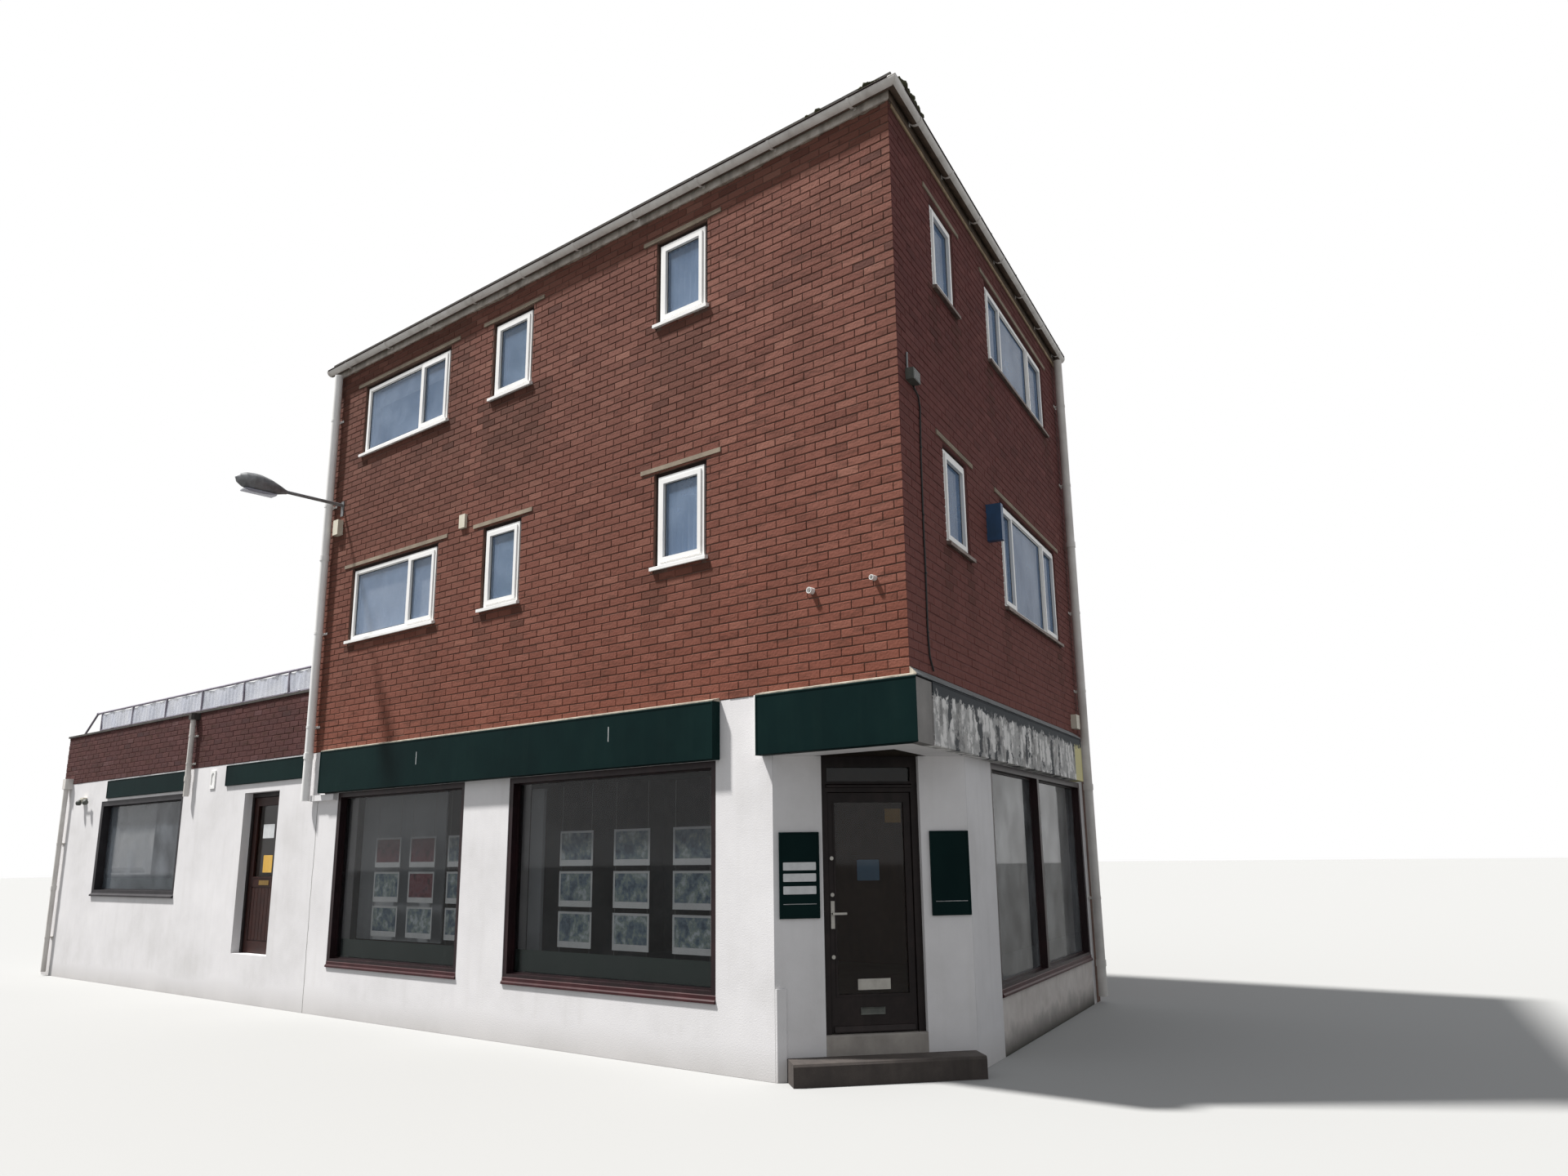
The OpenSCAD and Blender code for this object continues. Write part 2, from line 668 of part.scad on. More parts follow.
// window of the extension: a deep dark frame with a sloping sill, and one pane
module ext_window() {
  pane = shop_back + ext_pane_back;
  ring(-ext_win_from + seam, -ext_win_to - seam, shop_back, pane + 44,
    ext_win_foot, ext_win_head - seam, 75, 95);
  ring(-ext_win_from + 74, -ext_win_to - 74, pane - 12, pane + 24,
    ext_win_foot + 94, ext_win_head - 74, 16, 16);
  run(-ext_win_from + seam, -ext_win_to - seam, [
    [shop_back, ext_win_foot], [-30, ext_win_foot], [-30, ext_win_foot + 22],
    [shop_back, ext_win_foot + 48]]);
}
module ext_pane() {
  pane = shop_back + ext_pane_back;
  bar(-ext_win_from + 90, -ext_win_to - 90, pane, pane + glass_t,
    ext_win_foot + 110, ext_win_head - 90);
}
module ext_frames() {
  color("#3a3838") {
    ext_window();
    translate([0, depth, 0]) mirror([0, 1, 0]) ext_window();
  }
}
// coping in three lengths that stop short of each other
module coping() {
  color("#3f3b38") {
    run(-ext_end - 25, -left_len, [
      [-25, parapet_z], [-25, parapet_z + 30], [wall_t - 60, parapet_z + 45], [wall_t - 35, parapet_z]]);
    bar(-ext_end - 25, -ext_end + wall_t + 25, wall_t - 25, depth - wall_t - 35, parapet_z, parapet_z + 38);
    bar(-ext_end - 25, -left_len, depth - wall_t - 25, depth, parapet_z, parapet_z + 38);
  }
}

// a sign tray: a face set into a folded edge, with the front corners broken
module sign_tray(x0, x1, out, low, high) {
  difference() {
    run(x0, x1, [
      [0, low], [-out + 6, low], [-out, low + 6], [-out, high - 6], [-out + 6, high], [0, high]]);
    bar(x0 + fold, x1 - fold, -out - 10, -out + 4, low + fold, high - fold);
  }
}
module signs() {
  top = sign_low + sign_h;
  color("#12302c") {
    sign_tray(-8650, -2000, sign_out, sign_low, top);
    intersection() {
      sign_tray(-1500, 200, sign_out, sign_low, top);
      plan(sign_low - 50, top + 50, [[-1600, 10], [-seam, 0], arris(150) - [seam, 0], [-1600, -150]]);
    }
    on_right() sign_tray(260, 5800, sign_out, sign_low, top);
    sign_tray(-15430, -12480, plate_t, 2780, 3060);
    sign_tray(-11310, -9180, plate_t, 2780, 3060);
  }
}
// plain return of the sign box at the corner
module sign_return() {
  color("#6a6663") on_right()
    plan(sign_low, sign_low + sign_h - 12, [
      [seam, 0], [-k_arris * (sign_out - 8) + seam, -sign_out + 8], [255, -sign_out + 8], [255, 0]]);
}
// cappings that lead the rain over the signs
module sign_cappings() {
  top = sign_low + sign_h;
  color("#b9b3a6") {
    run(-8650, -2000, [[0, top], [-sign_out + 4, top], [-sign_out + 4, top + 10], [0, top + 34]]);
    intersection() {
      run(-1500, 200, [[0, top], [-sign_out + 4, top], [-sign_out + 4, top + 10], [0, top + 34]]);
      plan(top - 50, top + 50, [[-1600, 10], [-seam, 0], arris(150) - [seam, 0], [-1600, -150]]);
    }
    on_right() intersection() {
      run(-200, 5800, [
        [0, top], [-sign_out - 6, top], [-sign_out - 6, top + 12], [-12, top + 84], [0, top + 84]]);
      plan(top - 50, top + 150, [
        [seam, 10], [seam, 0], [-k_arris * 150 + seam, -150], [5900, -150], [5900, 10]]);
    }
  }
}
module entrance_plates() {
  color("#12302c") on_splay() {
    sign_tray(45, 380, plate_t, 1240, 1930);
    sign_tray(1337, 1675, plate_t, 1240, 1930);
  }
}

// eaves and rainwater goods
module fascia_boards() {
  color("#cfc9c2") {
    plan(wall_top - 20, roof_z, [
      [-left_len, -fascia_t], arris(fascia_t) - [seam, 0], [-seam, 0], [-left_len, 0]]);
    on_right()
      plan(wall_top - 20, roof_z - seam, [
        [-k_arris * fascia_t + seam, -fascia_t], [stop_at(depth, -fascia_t), -fascia_t],
        [stop_at(depth, -seam), -seam], [seam, -seam]]);
  }
}
// half-round gutter with a rolled front lip, its ends closed
module half_round(x0, x1) {
  translate([x0, gutter_y, gutter_z + gutter_r]) rotate([90, 0, 90]) {
    linear_extrude(x1 - x0) difference() {
      circle(gutter_r);
      circle(gutter_r - gutter_t);
      translate([-gutter_r - 1, 0]) square([gutter_d + 2, gutter_r + 1]);
    }
    translate([-gutter_r + 2, 2, 0]) linear_extrude(x1 - x0) circle(5, $fn = 12);
  }
}
module gutter_end(x) {
  intersection() {
    translate([x, gutter_y, gutter_z + gutter_r]) rotate([0, 90, 0]) cylinder(h = 6, r = gutter_r - 1);
    bar(x - 10, x + 20, gutter_y - gutter_r - 5, gutter_y + gutter_r + 5,
      gutter_z - 5, gutter_z + gutter_r);
  }
}
module gutters() {
  far = 400;
  color("#d5d0ca") {
    difference() {
      half_round(-left_len - 60, 300);
      plan(gutter_z - 50, gutter_z + 200, [
        [-seam, 20], [-seam, 0], arris(far) - [seam, 0], [far * 2, -far], [far * 2, 20]]);
    }
    gutter_end(-left_len - 60);
    on_right() {
      difference() {
        half_round(-300, stop_at(depth, 0) - 30);
        plan(gutter_z - 50, gutter_z + 200, [
          [seam, 20], [seam, 0], [-k_arris * far + seam, -far], [-far * 2, -far], [-far * 2, 20]]);
      }
      gutter_end(stop_at(depth, 0) - 36);
    }
  }
}
// a downpipe with the collars of its joints
module downpipe(d, low, high, collars) {
  translate([0, -d / 2 - pipe_gap, low]) {
    cylinder(h = high - low, d = d);
    for (z = collars)
      translate([0, 0, z - low]) cylinder(h = 70, d = d + 14);
  }
}
// hopper head on the wall, with its front corners cut off
module hopper(half, out, low, high) {
  plan(low, high, [[-half, -seam], [-half, -out + 30], [-half + 30, -out], [half - 30, -out],
    [half, -out + 30], [half, -seam]]);
}
module downpipes() {
  color("#dad6d1") {
    translate([-left_len + 160, 0, 0]) downpipe(pipe_d, 2482, wall_top - 21, [3000, 5560]);
    on_right() translate([right_len - 240, 0, 0]) downpipe(pipe_d, 80, wall_top - 21, [420, 2480, 5560]);
    translate([-12400, 0, 0]) {
      downpipe(small_pipe_d, 2685, 3810, [2900]);
      hopper(70, 125, 3785, 3878);
    }
    translate([-ext_end + 300, 0, 0]) {
      downpipe(small_pipe_d, 60, 3020, [1350]);
      hopper(90, 115, 3000, 3170);
    }
  }
}

// railing on the extension's parapet, with its raking end at the left
module railing() {
  z = parapet_z + rail_h;
  color("#55524e") {
    for (x = [-16360, -15100, -13840, -12600, -11290, -10010])
      translate([x, rail_back, parapet_z + 40]) cylinder(h = rail_h - 40, d = rail_d, $fn = 16);
    translate([-16560, rail_back, z]) rotate([0, 90, 0]) cylinder(h = 16560 - 9240, d = rail_d, $fn = 16);
    translate([-16560, rail_back, z]) rotate([0, -123, 0]) cylinder(h = 570, d = rail_d, $fn = 16);
    translate([-16560, rail_back, z]) sphere(d = rail_d + 14, $fn = 16);
    bar(-16360, -9240, rail_back - 8, rail_back + 8, parapet_z + 70, parapet_z + 86);
  }
}
module railing_panels() {
  posts = [-16360, -15100, -13840, -12600, -11290, -10010, -9240];
  color("#c9ccd0")
    for (i = [0:len(posts) - 2])
      bar(posts[i] + rail_d / 2 + 4, posts[i + 1] - rail_d / 2 - 4, rail_back - 4, rail_back + 4,
        parapet_z + 88, parapet_z + rail_h - rail_d / 2 - 1);
}

// street lamp on the wall at the left end: an arm, and a lantern turned to the shape of a drop
// and cut flat underneath
module wall_lamp() {
  color("#7f8285") translate([-lamp_x, 0, 0]) {
    bar(-30, 30, -16, 0, arm_z - 150, arm_z + 50);
    translate([0, -10, arm_z]) rotate([90, 0, 0]) cylinder(h = arm_len + 20, d = 42);
    translate([0, -arm_len, arm_z - 4]) intersection() {
      rotate([86, 0, 0]) lantern_drop();
      bar(-300, 300, -lantern_len - 50, 50, -75, 300);
    }
    bar(-80, 40, -80, 0, 5880, 6080);
  }
}
module lantern_drop() {
  r = lantern_d / 2;
  rotate_extrude() polygon([
    [0, 0], [26, 0], [34, 30], [62, 110], [r * 0.82, 220], [r, 360], [r * 0.98, 450], [r * 0.8, 550],
    [r * 0.5, 620], [0, lantern_len]]);
}
// end of an overflow pipe, open towards the street
module overflow(x, z, d) {
  translate([x, 0, z]) rotate([90, 0, 0]) difference() {
    cylinder(h = 60, d = d);
    translate([0, 0, 12]) cylinder(h = 60, d = d - 10);
  }
}
// vent plate with a slot that has round ends
module slot_vent(x, z) {
  translate([x, 0, z]) rotate([90, 0, 0]) {
    linear_extrude(3) square([146, 246], center = true);
    translate([0, 0, 2]) linear_extrude(12) difference() {
      square([150, 250], center = true);
      translate([0, 50]) circle(d = 90);
      translate([0, -50]) circle(d = 90);
      square([90, 100], center = true);
    }
  }
}
// small fittings: a cream box and overflow pipes on the left face, boxes on the right face, a box and
// a vent on the extension, and the ledge beside the foot of the left downpipe
module wall_fittings() {
  color("#d9d3c4") {
    bar(-6052, -5942, -40, 0, 5440, 5600);
    overflow(-930, 3900, 54);
    overflow(-290, 3906, 44);
    on_right() bar(5780, 5960, -75, 0, 3205, 3375);
    on_right() bar(170, 340, -80, 0, 5605, 5705);
    on_right() bar(2450, 2530, -158, 0, 4760, 5136);
    bar(-16420, -16280, -60, 0, 2760, 2830);
    slot_vent(-11730, 2890);
    run(-8890, -8340, [[0, 2470], [-60, 2476], [-60, 2546], [0, 2552]]);
  }
}

translate([arris_x, arris_y, 0]) {
  shop_floor();
  upper_floors();
  roof_deck();
  roof_felt();
  shop_piers();
  entrance_piers();
  stall_risers();
  left_beam();
  right_beam();
  corner_soffit();
  left_wall();
  right_wall();
  west_wall();
  party_wall();
  lintels();
  sills();
  upper_frames();
  frame_strips();
  upper_glass();
  shop_frames();
  ground_glass();
  door_frame();
  entrance_step();
  door_leaf();
  door_glass();
  door_furniture();
  side_frame();
  side_leaf();
  side_glass();
  side_furniture();
  ext_floor();
  ext_roof();
  ext_piers();
  ext_risers();
  ext_beam();
  ext_parapet();
  ext_rear_wall();
  ext_end_wall();
  ext_frames();
  coping();
  signs();
  sign_return();
  sign_cappings();
  entrance_plates();
  fascia_boards();
  gutters();
  downpipes();
  railing();
  railing_panels();
  wall_lamp();
  wall_fittings();
}
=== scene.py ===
# Corner shop building: dresses the CAD frame with brickwork, glazing, curtains, cards and weathered finishes.
# Sizes are in metres unless said otherwise. X runs along the left street, Z is up, and z = 0 is the ground.
import bpy
import math
import numpy as np
from mathutils import Matrix, Vector


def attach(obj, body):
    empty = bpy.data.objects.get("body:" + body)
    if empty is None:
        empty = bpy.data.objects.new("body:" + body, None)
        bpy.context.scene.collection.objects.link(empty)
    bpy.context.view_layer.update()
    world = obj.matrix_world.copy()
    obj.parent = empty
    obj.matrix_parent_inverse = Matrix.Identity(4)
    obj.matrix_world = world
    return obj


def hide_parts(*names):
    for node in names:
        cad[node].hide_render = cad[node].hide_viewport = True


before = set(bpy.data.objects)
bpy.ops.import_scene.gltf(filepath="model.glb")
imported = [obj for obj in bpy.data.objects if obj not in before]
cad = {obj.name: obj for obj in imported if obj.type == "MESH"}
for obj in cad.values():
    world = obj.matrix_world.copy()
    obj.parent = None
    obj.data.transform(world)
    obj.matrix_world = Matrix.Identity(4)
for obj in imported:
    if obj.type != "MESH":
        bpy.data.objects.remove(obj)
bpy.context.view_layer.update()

# places
CORNER_X, CORNER_Y = 8.6, -3.0
TURN = math.radians(104)
SQUARE = math.pi / 2
LEFT_LEN, RIGHT_LEN, EXT_END = 9.12, 6.38, 17.35
DEPTH = RIGHT_LEN * math.sin(TURN)
SPLAY_FROM = Vector((-1.4, 0.0))
SPLAY_TO = 1.33 * Vector((math.cos(TURN), math.sin(TURN)))
SPLAY_TURN = math.atan2(SPLAY_TO.y - SPLAY_FROM.y, SPLAY_TO.x - SPLAY_FROM.x)


def wall_frame(x, y, turn):
    """A wall's own frame, placed from the brick corner: x along the wall, y into the building, z up."""
    return Matrix.Translation((CORNER_X + x, CORNER_Y + y, 0)) @ Matrix.Rotation(turn, 4, "Z")


LEFT = wall_frame(0, 0, 0)
RIGHT = wall_frame(0, 0, TURN)
SPLAY = wall_frame(SPLAY_FROM.x, SPLAY_FROM.y, SPLAY_TURN)
WEST = wall_frame(-LEFT_LEN, DEPTH, -SQUARE)
REAR = wall_frame(0, DEPTH, math.pi)
PARAPET_BACK = wall_frame(0, 0.22, math.pi)

# windows as (from, to, foot, head, mullions, opening lights) along their wall
LEFT_WINDOWS = [
    (-8.375, -6.498, 4.44, 5.375, [-7.11], [0, 1]),
    (-5.619, -4.935, 4.44, 5.375, [], [1]),
    (-2.866, -2.165, 4.44, 5.375, [], [1]),
    (-8.36, -6.45, 6.905, 7.85, [-7.08], [0, 1]),
    (-5.602, -4.858, 6.92, 7.85, [], [1]),
    (-2.869, -2.158, 6.95, 7.85, [], [1]),
]
RIGHT_WINDOWS = [
    (1.109, 1.835, 4.44, 5.36, [], [1]),
    (2.99, 5.465, 4.205, 5.36, [3.5, 4.83], [1, 0, 1]),
    (1.05, 1.756, 6.89, 7.79, [], [1]),
    (2.884, 5.452, 6.89, 7.81, [3.486, 4.7], [1, 0, 1]),
]
WEST_WINDOWS = [
    (1.1, 2.94, 4.44, 5.375, [2.36], [0, 1]),
    (4.2, 4.83, 4.44, 5.375, [], [1]),
    (1.1, 2.94, 6.92, 7.85, [2.36], [0, 1]),
    (4.2, 4.83, 6.92, 7.85, [], [1]),
]
WINDOW_WALLS = [("left", LEFT, LEFT_WINDOWS), ("right", RIGHT, RIGHT_WINDOWS), ("west", WEST, WEST_WINDOWS)]
BRICK_FOOT, BRICK_HEAD, PARAPET_HEAD = 3.080, 8.150, 3.880
WIN_BACK, WIN_GAP, WIN_BAR, SASH, BEAD = 0.010, 0.045, 0.042, 0.044, 0.014


# the photograph's viewpoint
def camera_at_photo():
    """The camera solved from the straight edges of both street faces."""
    yaw, pitch, roll = (math.radians(a) for a in (-39.74788842, 13.17368761, -0.77678729))
    ahead = Vector((math.sin(yaw) * math.cos(pitch), math.cos(yaw) * math.cos(pitch), math.sin(pitch)))
    level = Vector((math.cos(yaw), -math.sin(yaw), 0))
    up = level.cross(ahead)
    right = math.cos(roll) * level + math.sin(roll) * up
    top = -math.sin(roll) * level + math.cos(roll) * up
    data = bpy.data.cameras.new("street_view")
    data.sensor_width = 36
    data.lens = 26.3095
    data.clip_end = 500
    camera = bpy.data.objects.new("street_view", data)
    bpy.context.collection.objects.link(camera)
    turn = Matrix((right, top, -ahead)).transposed().to_4x4()
    camera.matrix_world = Matrix.Translation((13.47655, -10.36369, 1.73734)) @ turn
    bpy.context.scene.camera = camera


# node and colour tools
def linear(code):
    """An sRGB hex colour as the linear values that the shader wants."""
    parts = [int(code[i:i + 2], 16) / 255 for i in (1, 3, 5)]
    return tuple(c / 12.92 if c <= 0.04045 else ((c + 0.055) / 1.055) ** 2.4 for c in parts) + (1.0,)


def feed(node, inputs):
    """Sets a node's live inputs, by name or in their order, each to a number, a hex colour, a socket
    or another node's first live output."""
    live = [socket for socket in node.inputs if socket.enabled]
    for key, value in inputs.items() if isinstance(inputs, dict) else enumerate(inputs):
        socket = live[key] if isinstance(key, int) else next(s for s in live if s.name == key)
        if isinstance(value, bpy.types.Node):
            value = next(s for s in value.outputs if s.enabled)
        if isinstance(value, bpy.types.NodeSocket):
            node.id_data.links.new(value, socket)
        else:
            socket.default_value = linear(value) if isinstance(value, str) else value


def adder(tree):
    """The function that adds a node to that tree."""
    def add(kind, inputs=(), stops=(), **settings):
        """Adds one node with its settings, its inputs, and its ramp's colours as (place, colour)."""
        node = tree.nodes.new("ShaderNode" + kind)
        for name, value in settings.items():
            setattr(node, name, value)
        feed(node, inputs)
        if stops:
            keys = node.color_ramp.elements
            while len(keys) < len(stops):
                keys.new(0.5)
            for key, (place, code) in zip(keys, stops):
                key.position = place
                key.color = linear(code)
        return node
    return add


def new_finish(name, rough, gloss=0.5, **surface):
    """A material with its constants on the shader's sockets, its adder, its shader and its coordinates."""
    material = bpy.data.materials.new(name)
    material.use_nodes = True
    add = adder(material.node_tree)
    shader = material.node_tree.nodes["Principled BSDF"]
    feed(shader, {"Roughness": rough, "Specular IOR Level": gloss})
    feed(shader, {socket.replace("_", " "): value for socket, value in surface.items()})
    place = add("TexCoord").outputs["Object"]
    return material, add, shader, place


def reopened(material):
    """A finish to be worked on: its adder, its shader and coordinates, and its colour so far."""
    nodes = material.node_tree.nodes
    shader = nodes["Principled BSDF"]
    place = nodes["Texture Coordinate"].outputs["Object"]
    return adder(material.node_tree), shader, place, shader.inputs["Base Color"].links[0].from_socket


def finish(name, tones, dirt, spot, grit, bump, rough, gloss=0.5, streak=0.25, low=0, splash=0.3, **surface):
    """The common build of a finish: tones that drift over spots, dirt in upright runs, splashed up to low
    metres from the ground if given, and grit that stands up by bump. Spots, grit and bump are in mm."""
    material, add, shader, place = new_finish(name, rough, gloss, **surface)
    drift = add("TexNoise", [place, 1000 / spot, 6.0, 0.62])
    tones = tones.split()
    step = 1 / (len(tones) - 1)
    base = add("ValToRGB", [drift], [(0.28 + 0.44 * i * step, tone) for i, tone in enumerate(tones)])
    # rain draws dirt down in runs, so this pattern is stretched ten times along Z
    run = add("Mapping", {"Vector": place, "Scale": (9.0, 9.0, 0.9)})
    runs = add("TexNoise", [run, 1.0, 5.0])
    dirty = add("MapRange", [runs, 0.5, 0.78, 0.0, streak])
    if low:
        height = add("SeparateXYZ", [place]).outputs["Z"]
        rise = add("Math", [drift, low], operation="MULTIPLY")
        muddy = add("MapRange", [height, 0.0, rise, splash, 0.0])
        dirty = add("Math", [dirty, muddy], operation="MAXIMUM")
    soiled = add("Mix", [dirty, base, dirt], data_type="RGBA")
    fine = add("TexNoise", [place, 1000 / grit, 4.0])
    dull = add("MapRange", [fine, 0.0, 1.0, rough - 0.08, min(1.0, rough + 0.1)])
    raised = add("Bump", {"Height": fine, "Distance": bump / 1000, "Strength": 0.6})
    feed(shader, {"Base Color": soiled, "Roughness": dull, "Normal": raised})
    return material


# finishes
def sand_faced_brick(name, tones, low_tone, soot, streaks):
    """Clay brick pressed in sanded moulds: dull and gritty, every brick fired a little differently.
    low_tone warms the foot of the wall, soot darkens it in clouds, and streaks in short level runs."""
    material, add, shader, place = new_finish(name, 0.92, 0.2)
    tone = add("Attribute", attribute_name="brick_tone").outputs["Fac"]
    fired = add("ValToRGB", [tone], list(zip((0.0, 0.3, 0.65, 1.0), tones.split())))
    height = add("SeparateXYZ", [place]).outputs["Z"]
    low = add("MapRange", [height, 3.1, 6.4, 0.6, 0.0])
    warm = add("Mix", [low, fired, low_tone], data_type="RGBA")
    # soot and rain leave dark clouds about a metre across, drawn out downwards
    cloud = add("Mapping", {"Vector": place, "Scale": (1.0, 1.0, 0.6)})
    clouds = add("TexNoise", [cloud, 1.3, 7.0, 0.65])
    sooty = add("MapRange", [clouds, 0.48, 0.75, 0.0, soot])
    # dark level runs a hand's breadth long across the brick faces
    level = add("Mapping", {"Vector": place, "Scale": (4.5, 4.5, 26.0)})
    runs = add("TexNoise", [level, 1.0, 5.0, 0.6])
    level_darkening = add("MapRange", [runs, 0.5, 0.68, 0.0, streaks])
    # rain stains, and painted shade under the eaves and window heads, as each brick carries them
    stain_and_shade = add("Attribute", attribute_name="rain_stain_and_shade").outputs["Fac"]
    dark = add("Math", [sooty, level_darkening], operation="MAXIMUM")
    dark = add("Math", [dark, stain_and_shade], operation="MAXIMUM")
    soiled = add("Mix", [dark, warm, "#3f281f"], data_type="RGBA")
    # sand grains are drawn 6 mm wide, coarser than real ones, so that they show from the street
    sand = add("TexNoise", [place, 160.0, 5.0, 0.75])
    grains = add("ValToRGB", [sand], [(0.3, "#8c8c8c"), (0.7, "#d8d2cc")])
    speckled = add("Mix", [0.4, soiled, grains], data_type="RGBA", blend_type="OVERLAY")
    pits = add("TexNoise", [place, 45.0, 6.0])
    raised = add("Bump", {"Height": pits, "Distance": 0.006, "Strength": 0.8})
    feed(shader, {"Base Color": speckled, "Normal": raised})
    return material


def clear_glass(name, tint, alpha, film, dust_and_reflection, gloss=0.5):
    """Float glass: a dark tint that lets the room show, and a pale film of street dust, which on the blue
    panes is painted reflection of the sky as well.
    """
    material, add, shader, place = new_finish(name, 0.03, gloss, IOR=1.5)
    smear = add("TexNoise", [place, 1.7, 5.0, 0.6])
    dust_and_reflection_mask = add("MapRange", [smear, 0.35, 0.75, 0.0, dust_and_reflection])
    colour = add("Mix", [dust_and_reflection_mask, tint, film], data_type="RGBA")
    cover = add("MapRange", [dust_and_reflection_mask, 0.0, 1.0, alpha, 1.0])
    feed(shader, {"Base Color": colour, "Alpha": cover})
    return material


def chalky_sign():
    """Painted sheet, bare of its old facing: chalky upright blocks with torn edges, dark gaps between them,
    a dark strip along the top and yellowed vinyl at the far end."""
    material = finish("chalky_sign_face", "#989694 #b3b1af #c7c5c3", "#5b5957", 350, 10, 0.4, 0.65, 0.1)
    add, shader, place, below = reopened(material)
    torn = add("TexNoise", [place, 14.0, 6.0, 0.7])
    sway = add("VectorMath", [torn.outputs["Color"], (0.16, 0.16, 0.16), place], operation="MULTIPLY_ADD")
    # a worn block is about 100 mm wide and 280 mm high
    upright = add("Mapping", {"Vector": sway, "Scale": (10.0, 10.0, 3.6)})
    cells = add("TexVoronoi", {"Vector": upright, "Scale": 1.0, "Randomness": 0.8}, distance="CHEBYCHEV")
    chance = add("SeparateColor", [cells.outputs["Color"]]).outputs["Red"]
    gap = add("MapRange", [cells, 0.34, 0.44])
    chalk = add("Math", [chance, 0.26], operation="GREATER_THAN")
    pale = add("Mix", [chalk, below, "#e6e4e2"], data_type="RGBA")
    edge = add("Math", [gap, torn], operation="MULTIPLY")
    bare = add("Math", [chance, 0.12], operation="LESS_THAN")
    dark = add("Math", [edge, bare], operation="MAXIMUM")
    worn = add("Mix", [dark, pale, "#4b4d50"], data_type="RGBA")
    parts = add("SeparateXYZ", [place])
    far = add("MapRange", [parts.outputs["Y"], 2.28, 2.33])
    aged = add("Mix", [far, worn, "#d8d09c"], data_type="RGBA")
    rim = add("Math", [torn, 0.3, 2.82], operation="MULTIPLY_ADD")
    top = add("Math", [parts.outputs["Z"], rim], operation="GREATER_THAN")
    feed(shader, {"Base Color": add("Mix", [top, aged, "#3b3f43"], data_type="RGBA")})
    return material


def painted_render():
    """Cement render under masonry paint: floated flat, splashed at its foot, cracked at an old joint."""
    material = finish("painted_cement_render", "#d3d1d1 #dfddde #e7e5e6", "#8d8679", 900, 12, 2.5, 0.85, 0.3,
                      0.07, low=0.5)
    add, shader, place, below = reopened(material)
    wobble = add("TexNoise", [place, 3.0, 4.0])
    sway = add("Math", [wobble, 0.06, 0.17], operation="MULTIPLY_ADD")
    across = add("SeparateXYZ", [place]).outputs["X"]
    off = add("Math", [across, sway], operation="ADD")
    near = add("Math", [off], operation="ABSOLUTE")
    line = add("MapRange", [near, 0.004, 0.009, 0.75, 0.0])
    feed(shader, {"Base Color": add("Mix", [line, below, "#56514d"], data_type="RGBA")})
    return material


def lapped_felt():
    """Mineral roofing felt, gone green in patches, laid in sheets with a dark sealed lap every 0.9 m."""
    material = finish("mineral_roof_felt", "#2f2d2a #3d3a36 #4a463f", "#5d6046", 700, 3, 3, 0.95)
    add, shader, place, below = reopened(material)
    wander = add("TexNoise", [place, 2.0, 4.0])
    across = add("SeparateXYZ", [place]).outputs["X"]
    bent = add("Math", [wander, 0.03, across], operation="MULTIPLY_ADD")
    sheet = add("Math", [bent, 0.9], operation="FLOORED_MODULO")
    lap = add("MapRange", [sheet, 0.015, 0.045, 0.7, 0.0])
    feed(shader, {"Base Color": add("Mix", [lap, below, "#1c1a18"], data_type="RGBA")})
    return material


def cloth_finish(name, dark, light):
    """Thin woven polyester: a soft sheen, and threads drawn 4 mm apart to show."""
    material, add, shader, place = new_finish(name, 0.85, 0.2, Sheen_Weight=0.2)
    drift = add("TexNoise", [place, 2.2, 3.0])
    wave = add("TexWave", {"Vector": place, "Scale": 40.0, "Distortion": 1.5}, bands_direction="Z")
    thread = wave.outputs["Fac"]
    mixed = add("Math", [thread, 0.12, drift], operation="MULTIPLY_ADD")
    colour = add("ValToRGB", [mixed], [(0.3, dark), (0.75, light)])
    raised = add("Bump", {"Height": thread, "Distance": 0.0006})
    feed(shader, {"Base Color": colour, "Normal": raised})
    return material


def printed_card(name, inks):
    """Photo paper behind acrylic: soft blotches of ink, with no picture in them."""
    material, add, shader, place = new_finish(name, 0.25)
    blots = add("TexNoise", [place, 9.0, 5.0, 0.7])
    inks = list(zip((0.36, 0.46, 0.54, 0.64), inks.split()))
    feed(shader, {"Base Color": add("ValToRGB", [blots], inks)})
    return material


# the left street's bricks are clean and warm, the right street's a darker copy in painted shade, the parapet's
# hard and purple
LIT_BRICK = sand_faced_brick("sand_faced_brick", "#603f38 #744a40 #83584d #94695c", "#7f4939", 0.45, 0.5)
SHADED_BRICK = sand_faced_brick("shade_darkened_brick", "#54302f #613837 #693e3c #764947", "#84564f", 0.2, 0.3)
PARAPET_BRICK = sand_faced_brick("purple_engineering_brick", "#2e2225 #482d2b #5a3733 #735a5c", "#4f3435", 0.4,
                                 0.8)
